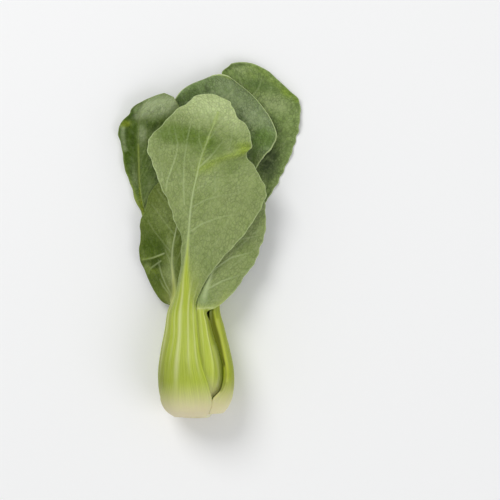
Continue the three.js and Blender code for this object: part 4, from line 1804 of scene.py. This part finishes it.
RIGHT_INNER_TINTS = Tints(
    leafy=(Blot((206, 283), (20, 26), 1.0, 0, 12),),
    deep=(Blot((204.5, 297), (6, 7), 0.9, 0, 3),),
    pale=(
        Streak(((197, 308.3), (205, 308), (213, 307.5)), 0.5, 0.8, 1.0),
        # painted light along the lower right margin, where it lies in the right outer stem's shade
        Streak(((214, 346), (217, 358), (219, 370), (219.6, 377), (217.5, 385)), 0.9, 0.7, 0.6),
    ),
    # painted shade beside the gap under the right outer stem
    dusk=(Streak(((215.5, 345), (212, 333), (209.5, 323), (207.5, 312)), 1.3, 0.5, 0.2),),
)


@dataclass
class Leaf:
    """One leaf, stem and blade in one piece.

    Attributes:
        node: The CAD node that it stands for.
        form: Its shape.
        finish: Its colours.
        tints: Where it is deeper, paler or yellower, partly its own colour and partly painted light and
            shade.
        relief: The relief of its blade.
    """

    node: str
    form: LeafForm
    finish: LeafFinish = field(default_factory=LeafFinish)
    tints: Tints = field(default_factory=Tints)
    relief: Relief = field(default_factory=Relief)

    def build(self, home: Array) -> bpy.types.Object:
        """Makes the leaf's mesh.

        Args:
            home: Shift from the plan's middle to the frame's origin, in mm.

        Returns:
            The leaf.
        """
        fine = LeafMesh(LeafSurface(self.form), home)
        x, y = fine.outer[..., 0], fine.outer[..., 1]
        for tint in fields(self.tints):
            marks = getattr(self.tints, tint.name)
            total = sum((mark.strength(x, y) for mark in marks), np.zeros_like(x))
            fine.tint(tint.name, np.clip(total, 0, 1))
        fine.facts["stem"] = fine.facts["stem"] * (1 - fine.facts.pop("leafy"))
        return fine.make(f"{self.node}_fine")

    def dress(self, piece: bpy.types.Object) -> bpy.types.Object:
        """Gives the leaf its relief and finish, and puts it in the CAD node's stead.

        Args:
            piece: The leaf's mesh.

        Returns:
            The same object.
        """
        material = self.finish.material(f"{self.node}_skin")
        self.relief.apply(piece, material)
        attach(piece, "root")
        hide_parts(self.node)
        return piece


SAGE = LeafFinish()
INNER_STEM = LeafFinish(stem="#c9d65c", stem_deep="#b2c13e", stem_pale="#d6dd92")
OUTER_STEM = LeafFinish(stem="#b0be10", stem_deep="#98a602", stem_pale="#c3cc48", foot="#ece2b4", gloss=0.18)
# the left lower leaf's darker greens are partly its own green and partly painted shade that lies over it
OLIVE = LeafFinish(
    back="#66762f",
    face="#5d6f33",
    deep="#435902",
    pale="#9ba96c",
    vein="#a8b482",
    rim="#82914c",
    stem="#a2a75c",
    gloss=0.1,
    scaly=0.36,
)
MOSS = LeafFinish(
    back="#84935c",
    face="#65763c",
    deep="#4b6508",
    pale="#aebb8c",
    gold="#a0ae34",
    vein="#8a9b56",
    rim="#8b9a56",
    mottle=0.12,
    gloss=0.18,
)
COOL = LeafFinish(
    back="#84935c",
    face="#7f9160",
    deep="#6d8b3a",
    pale="#9fae80",
    vein="#97a66e",
    rim="#bccb90",
    rim_share=0.9,
    mottle=0.3,
    scaly=0.42,
)
FRESH = LeafFinish(
    back="#84935c",
    face="#849a52",
    deep="#567028",
    pale="#a2b276",
    gold="#8aa436",
    vein="#9bad70",
    rim="#a6b874",
    mottle=0.4,
    scaly=0.42,
)

LEAVES = (  # from the front leaf to the hidden heart
    Leaf("leaf_front", FRONT, SAGE, FRONT_TINTS),
    Leaf("leaf_left_lower", LEFT_LOWER, OLIVE, LEFT_LOWER_TINTS),
    Leaf("leaf_left_back", LEFT_BACK, MOSS, LEFT_BACK_TINTS),
    Leaf("leaf_centre_back", CENTRE_BACK, COOL, CENTRE_BACK_TINTS),
    Leaf("leaf_top_back", TOP_BACK, FRESH, TOP_BACK_TINTS),
    Leaf("leaf_right_outer", RIGHT_OUTER, OUTER_STEM, RIGHT_OUTER_TINTS),
    Leaf("leaf_right_inner", RIGHT_INNER, INNER_STEM, RIGHT_INNER_TINTS),
    Leaf("leaf_heart_front", HEART_FRONT, FRESH),
    Leaf("leaf_heart_back", HEART_BACK, FRESH),
)


@dataclass(frozen=True)
class StumpFinish:
    """The pale flesh of the stump, browner towards the cut.

    Attributes:
        flesh: The flesh's colour.
        heart: The middle of the cut.
        dry: The dried edge of the cut.
    """

    flesh: str = "#d9d3a4"
    heart: str = "#e6e2c0"
    dry: str = "#b79f6c"

    def material(self, name: str) -> bpy.types.Material:
        """Builds the finish.

        Args:
            name: The material's name.

        Returns:
            The material.
        """
        material = bpy.data.materials.new(name)
        material.use_nodes = True
        g = Graph(material.node_tree)
        place = g.node("ShaderNodeTexCoord").outputs["Object"]
        mottle = g.noise(place, 180.0, 4.0, 0.6)
        grain = g.noise(place, 900.0, 3.0, 0.6)
        colour = g.coats(
            g.mix(g.spread(mottle, 0.35, 0.7), self.flesh, self.heart),
            (g.times(g.fact("rim"), 0.7), self.dry),
            (g.spread(grain, 0.55, 0.85, 0.0, 0.35), self.dry),
        )
        bump = g.node("ShaderNodeBump", {"Strength": 0.4, "Distance": 0.0004, "Height": grain})
        flesh = g.node(
            "ShaderNodeBsdfPrincipled",
            {
                "Base Color": colour,
                "Roughness": g.spread(mottle, 0.3, 0.7, 0.5, 0.65),
                "Normal": bump.outputs["Normal"],
                "Subsurface Weight": 0.2,
                "Subsurface Scale": 0.003,
            },
        )
        g.node("ShaderNodeOutputMaterial", {"Surface": flesh.outputs[0]})
        return material


BUNDLE_FINISH = StumpFinish(flesh="#cfc391", heart="#c3b67c", dry="#b09c68")


@dataclass
class Stump:
    """The cut stump that the leaves grow from, with the ring of bundles on its cut.

    Attributes:
        profile: Plan y and radius in mm, from the cut face to the growing point.
        sides: Sides of its round.
        hollow: How deep the cut is hollow, in plan units.
        bundles: Bundles on the outer ring of the cut. The inner one has half as many.
        bundle_size: Radius of a bundle, in mm.
        bundle_rings: Radii of both rings, as shares of the cut's.
        seed: Seed of the bundles' places.
    """

    RIM_REACH: ClassVar[float] = 0.8  # width of the dried rim of the cut, in mm
    BEAD_SIZES: ClassVar[Point2] = (0.5, 1.3)  # smallest and largest bead, as shares of its radius
    BEAD_FLAT: ClassVar[float] = 0.35  # how flat the beads lie on the cut
    STIR: ClassVar[float] = 0.7  # how far a bundle strays round its ring, as a share of its step
    STRAY: ClassVar[float] = 0.16  # how far it strays across it, as a share of the cut's radius

    profile: tuple[Point2, ...] = (
        (417.6, 7),
        (416.9, 7.7),
        (414.8, 8.8),
        (411, 10.7),
        (407, 12.1),
        (403.6, 13),
        (402.9, 12.4),
        (402.7, 9.6),
        (395, 9.2),
        (393.9, 8.6),
        (393.6, 5.8),
        (380, 4.5),
        (367, 1.5),
    )
    sides: int = 112
    hollow: float = 0.5
    bundles: int = 17
    bundle_size: float = 0.4
    bundle_rings: Point2 = (0.78, 0.5)
    seed: int = 11

    def build(self, home: Array) -> bpy.types.Object:
        """Makes the stump's mesh.

        Args:
            home: Shift from the plan's middle to the frame's origin, in mm.

        Returns:
            The stump.
        """
        rows = self._rows()
        turn = np.linspace(0, 2 * math.pi, self.sides, endpoint=False)
        ring = np.stack([np.cos(turn), np.zeros_like(turn), np.sin(turn)], axis=-1)
        lumps = 1 + 0.012 * np.sin(5 * turn + 1) + 0.01 * np.sin(11 * turn)
        places = np.array([BULB.middle(y) + ring * (r * lumps)[:, None] for y, r in rows])
        count = len(rows)
        grid = np.arange(count * self.sides).reshape(count, self.sides)
        after = np.roll(grid, -1, axis=1)
        quads = np.stack([grid[:-1], grid[1:], after[1:], after[:-1]], axis=-1).reshape(-1, 4)
        mesh = bpy.data.meshes.new("stump_fine")
        points = (places.reshape(-1, 3) + home) * METRE
        faces = [tuple(q) for q in quads.tolist()]
        faces.append(tuple(grid[0].tolist()))
        faces.append(tuple(grid[-1][::-1].tolist()))
        mesh.from_pydata([tuple(p) for p in points.tolist()], [], faces)
        mesh.validate()
        radius = np.array([r for _, r in rows])
        rim = np.exp(-(((radius - self.profile[0][1]) / self.RIM_REACH) ** 2))
        rim *= np.arange(count) < count // 3
        store(mesh, "rim", np.repeat(rim, self.sides))
        mesh.shade_smooth()
        return link_mesh("stump_fine", mesh)

    def _rows(self) -> list[Point2]:
        """The profile with the cut face's own rings, slightly hollow in the middle.

        Returns:
            Plan y and radius of each ring.
        """
        y, edge = self.profile[0]
        radii = np.linspace(0.4, edge - 0.15, 9)
        face = [(y - self.hollow + self.hollow * (r / edge) ** 2, r) for r in radii]
        return face + list(self.profile)

    def dress(self, piece: bpy.types.Object) -> bpy.types.Object:
        """Gives the stump its finish and puts it in the CAD node's stead.

        Args:
            piece: The stump's mesh.

        Returns:
            The same object.
        """
        piece.data.materials.append(StumpFinish().material("stump_flesh"))
        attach(piece, "root")
        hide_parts("stump")
        return piece

    def build_bundles(self, home: Array) -> bpy.types.Object:
        """Makes the ring of bundles on the cut face.

        Args:
            home: Shift from the plan's middle to the frame's origin, in mm.

        Returns:
            The bundles as one mesh.
        """
        y, edge = self.profile[0]
        spots = []
        chance = np.random.default_rng(self.seed)
        for share, count in zip(self.bundle_rings, (self.bundles, self.bundles // 2)):
            for i in range(count):
                a = 2 * math.pi * (i + self.STIR * chance.random()) / count
                r = edge * (share + self.STRAY * (chance.random() - 0.5))
                depth = self.hollow - self.hollow * (r / edge) ** 2
                spots.append(BULB.middle(y - depth) + r * np.array([math.cos(a), 0, math.sin(a)]))
        mesh = bpy.data.meshes.new("stump_bundles")
        mesh.from_pydata([tuple(p) for p in ((np.array(spots) + home) * METRE).tolist()], [], [])
        piece = link_mesh("stump_bundles", mesh)
        values = {
            "Radius": self.bundle_size * METRE,
            "Seed": self.seed,
            "Finish": BUNDLE_FINISH.material("stump_bundle_flesh"),
        }
        bake_nodes(piece, self._bundle_tree(), values)
        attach(piece, "root")
        return piece

    def _bundle_tree(self) -> bpy.types.NodeTree:
        """Builds the geometry nodes that put a flat bead on each point.

        Returns:
            A tree with named inputs, ending in Realize Instances and Set Material.
        """
        g = MeshGraph("stump_bundle_beads", {"Radius": "Float", "Seed": "Int"})
        given = g.given
        bead = g.node("GeometryNodeMeshIcoSphere", {"Radius": given["Radius"], "Subdivisions": 2})
        size = g.node("FunctionNodeRandomValue", {"Seed": given["Seed"]}, data_type="FLOAT")
        size.inputs[2].default_value, size.inputs[3].default_value = self.BEAD_SIZES
        flat = g.vector(size.outputs[1], self.BEAD_FLAT, size.outputs[1])
        inputs = {"Points": given["Geometry"], "Instance": bead.outputs[0], "Scale": flat}
        return g.end(g.node("GeometryNodeInstanceOnPoints", inputs).outputs[0])


@dataclass(frozen=True)
class Lamp:
    """A soft round lamp that looks at the head.

    Attributes:
        name: Its name.
        place: Where it hangs, in metres.
        size: Its diameter in metres.
        power: Its power in watts.
    """

    name: str
    place: Point3
    size: float
    power: float

    def hang(self) -> None:
        """Puts the lamp into the scene."""
        data = bpy.data.lights.new(self.name, "AREA")
        data.shape, data.size, data.energy = "DISK", self.size, self.power
        lamp = bpy.data.objects.new(self.name, data)
        lamp.location = self.place
        x, y, z = (-c for c in self.place)
        lamp.rotation_euler = (math.atan2(math.hypot(x, y), -z), 0, math.atan2(y, x) - math.pi / 2)
        bpy.context.scene.collection.objects.link(lamp)


@dataclass
class Studio:
    """The floor, the lights and the camera.

    Attributes:
        height: Height of the camera above the head's middle, in metres.
        level: Height at which a plan unit is a unit of the frame, in metres.
        sensor: Width of the camera's sensor, in mm.
        floor_colour: The floor's colour.
        floor_grain: The colour of its grain.
        floor_half: Half the floor's side, in metres.
        floor_drop: How far under the head it lies, in metres.
        sky: The room's light.
        sky_strength: Its strength.
        lamps: The lamps.
    """

    height: float = 2.2
    level: float = 0.02
    sensor: float = 36.0
    floor_colour: str = "#fafafa"
    floor_grain: str = "#f3f3f2"
    floor_half: float = 3.0
    floor_drop: float = 0.0003
    sky: Colour = (0.98, 0.99, 1.0, 1.0)
    sky_strength: float = 0.5
    lamps: tuple[Lamp, ...] = (
        Lamp("key_light", (-0.75, 0.95, 1.5), 1.0, 16.0),
        Lamp("fill_light", (1.0, -0.6, 1.3), 1.2, 6.0),
    )

    def build(self, home: Array) -> None:
        """Makes the floor, the lights and the camera.

        Args:
            home: Shift from the plan's middle to the frame's origin, in mm.
        """
        self._floor()
        self._world()
        for lamp in self.lamps:
            lamp.hang()
        self._camera(home)

    def _floor(self) -> None:
        """Lays the floor just under the head."""
        half, drop = self.floor_half, self.floor_drop
        mesh = bpy.data.meshes.new("floor")
        places = [(-half, -half, -drop), (half, -half, -drop), (half, half, -drop), (-half, half, -drop)]
        mesh.from_pydata(places, [], [(0, 1, 2, 3)])
        floor = link_mesh("floor", mesh)
        material = bpy.data.materials.new("floor_paper")
        material.use_nodes = True
        g = Graph(material.node_tree)
        grain = g.noise(g.node("ShaderNodeTexCoord").outputs["Object"], 400.0, 2.0)
        colour = g.mix(g.times(grain, 0.1), self.floor_colour, self.floor_grain)
        paper = g.node("ShaderNodeBsdfPrincipled", {"Base Color": colour, "Roughness": 0.85})
        g.node("ShaderNodeOutputMaterial", {"Surface": paper.outputs[0]})
        mesh.materials.append(material)

    def _world(self) -> None:
        """Fills the room with an even pale light."""
        world = bpy.data.worlds.new("room")
        bpy.context.scene.world = world
        world.use_nodes = True
        light = world.node_tree.nodes["Background"].inputs
        light["Color"].default_value = self.sky
        light["Strength"].default_value = self.sky_strength
        bpy.context.scene.view_settings.view_transform = "Standard"

    def _camera(self, home: Array) -> None:
        """Hangs the camera straight above the middle of its frame.

        Args:
            home: Shift from the plan's middle to the frame's origin, in mm.
        """
        middle = IMAGE_SIDE / 2
        x, y = PLAN.mm(middle, middle)
        span = IMAGE_SIDE * PLAN.unit * METRE
        data = bpy.data.cameras.new("camera")
        data.sensor_width = self.sensor
        data.lens = self.sensor * self.height / span
        data.clip_end = 20.0
        camera = bpy.data.objects.new("camera", data)
        camera.location = ((x + home[0]) * METRE, (y + home[1]) * METRE, self.level + self.height)
        bpy.context.scene.collection.objects.link(camera)
        bpy.context.scene.camera = camera


def home_shift(stump: Stump) -> Array:
    """Where the plan's middle lies in the frame, read from the CAD stump.

    Args:
        stump: The stump, whose profile the CAD node has.

    Returns:
        The shift in mm.
    """
    low, high = (np.array(corner, float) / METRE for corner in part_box("stump"))
    widest = max(stump.profile, key=lambda row: row[1])
    middle = BULB.middle(widest[0])
    shift = (low + high) / 2 - middle
    shift[1] = low[1] - BULB.middle(stump.profile[0][0])[1]
    return shift


def main() -> None:
    """Builds the head, the floor, the lights and the camera."""
    logging.basicConfig(level=logging.INFO, format="%(name)s: %(message)s")
    stump = Stump()
    home = home_shift(stump)
    body = stump.dress(stump.build(home))
    log.info("%s: %d faces", body.name, len(body.data.polygons))
    bundles = stump.build_bundles(home)
    log.info("%s: %d faces", bundles.name, len(bundles.data.polygons))
    for leaf in LEAVES:
        piece = leaf.dress(leaf.build(home))
        log.info("%s: %d faces", piece.name, len(piece.data.polygons))
    Studio().build(home)


if __name__ == "__main__":
    main()
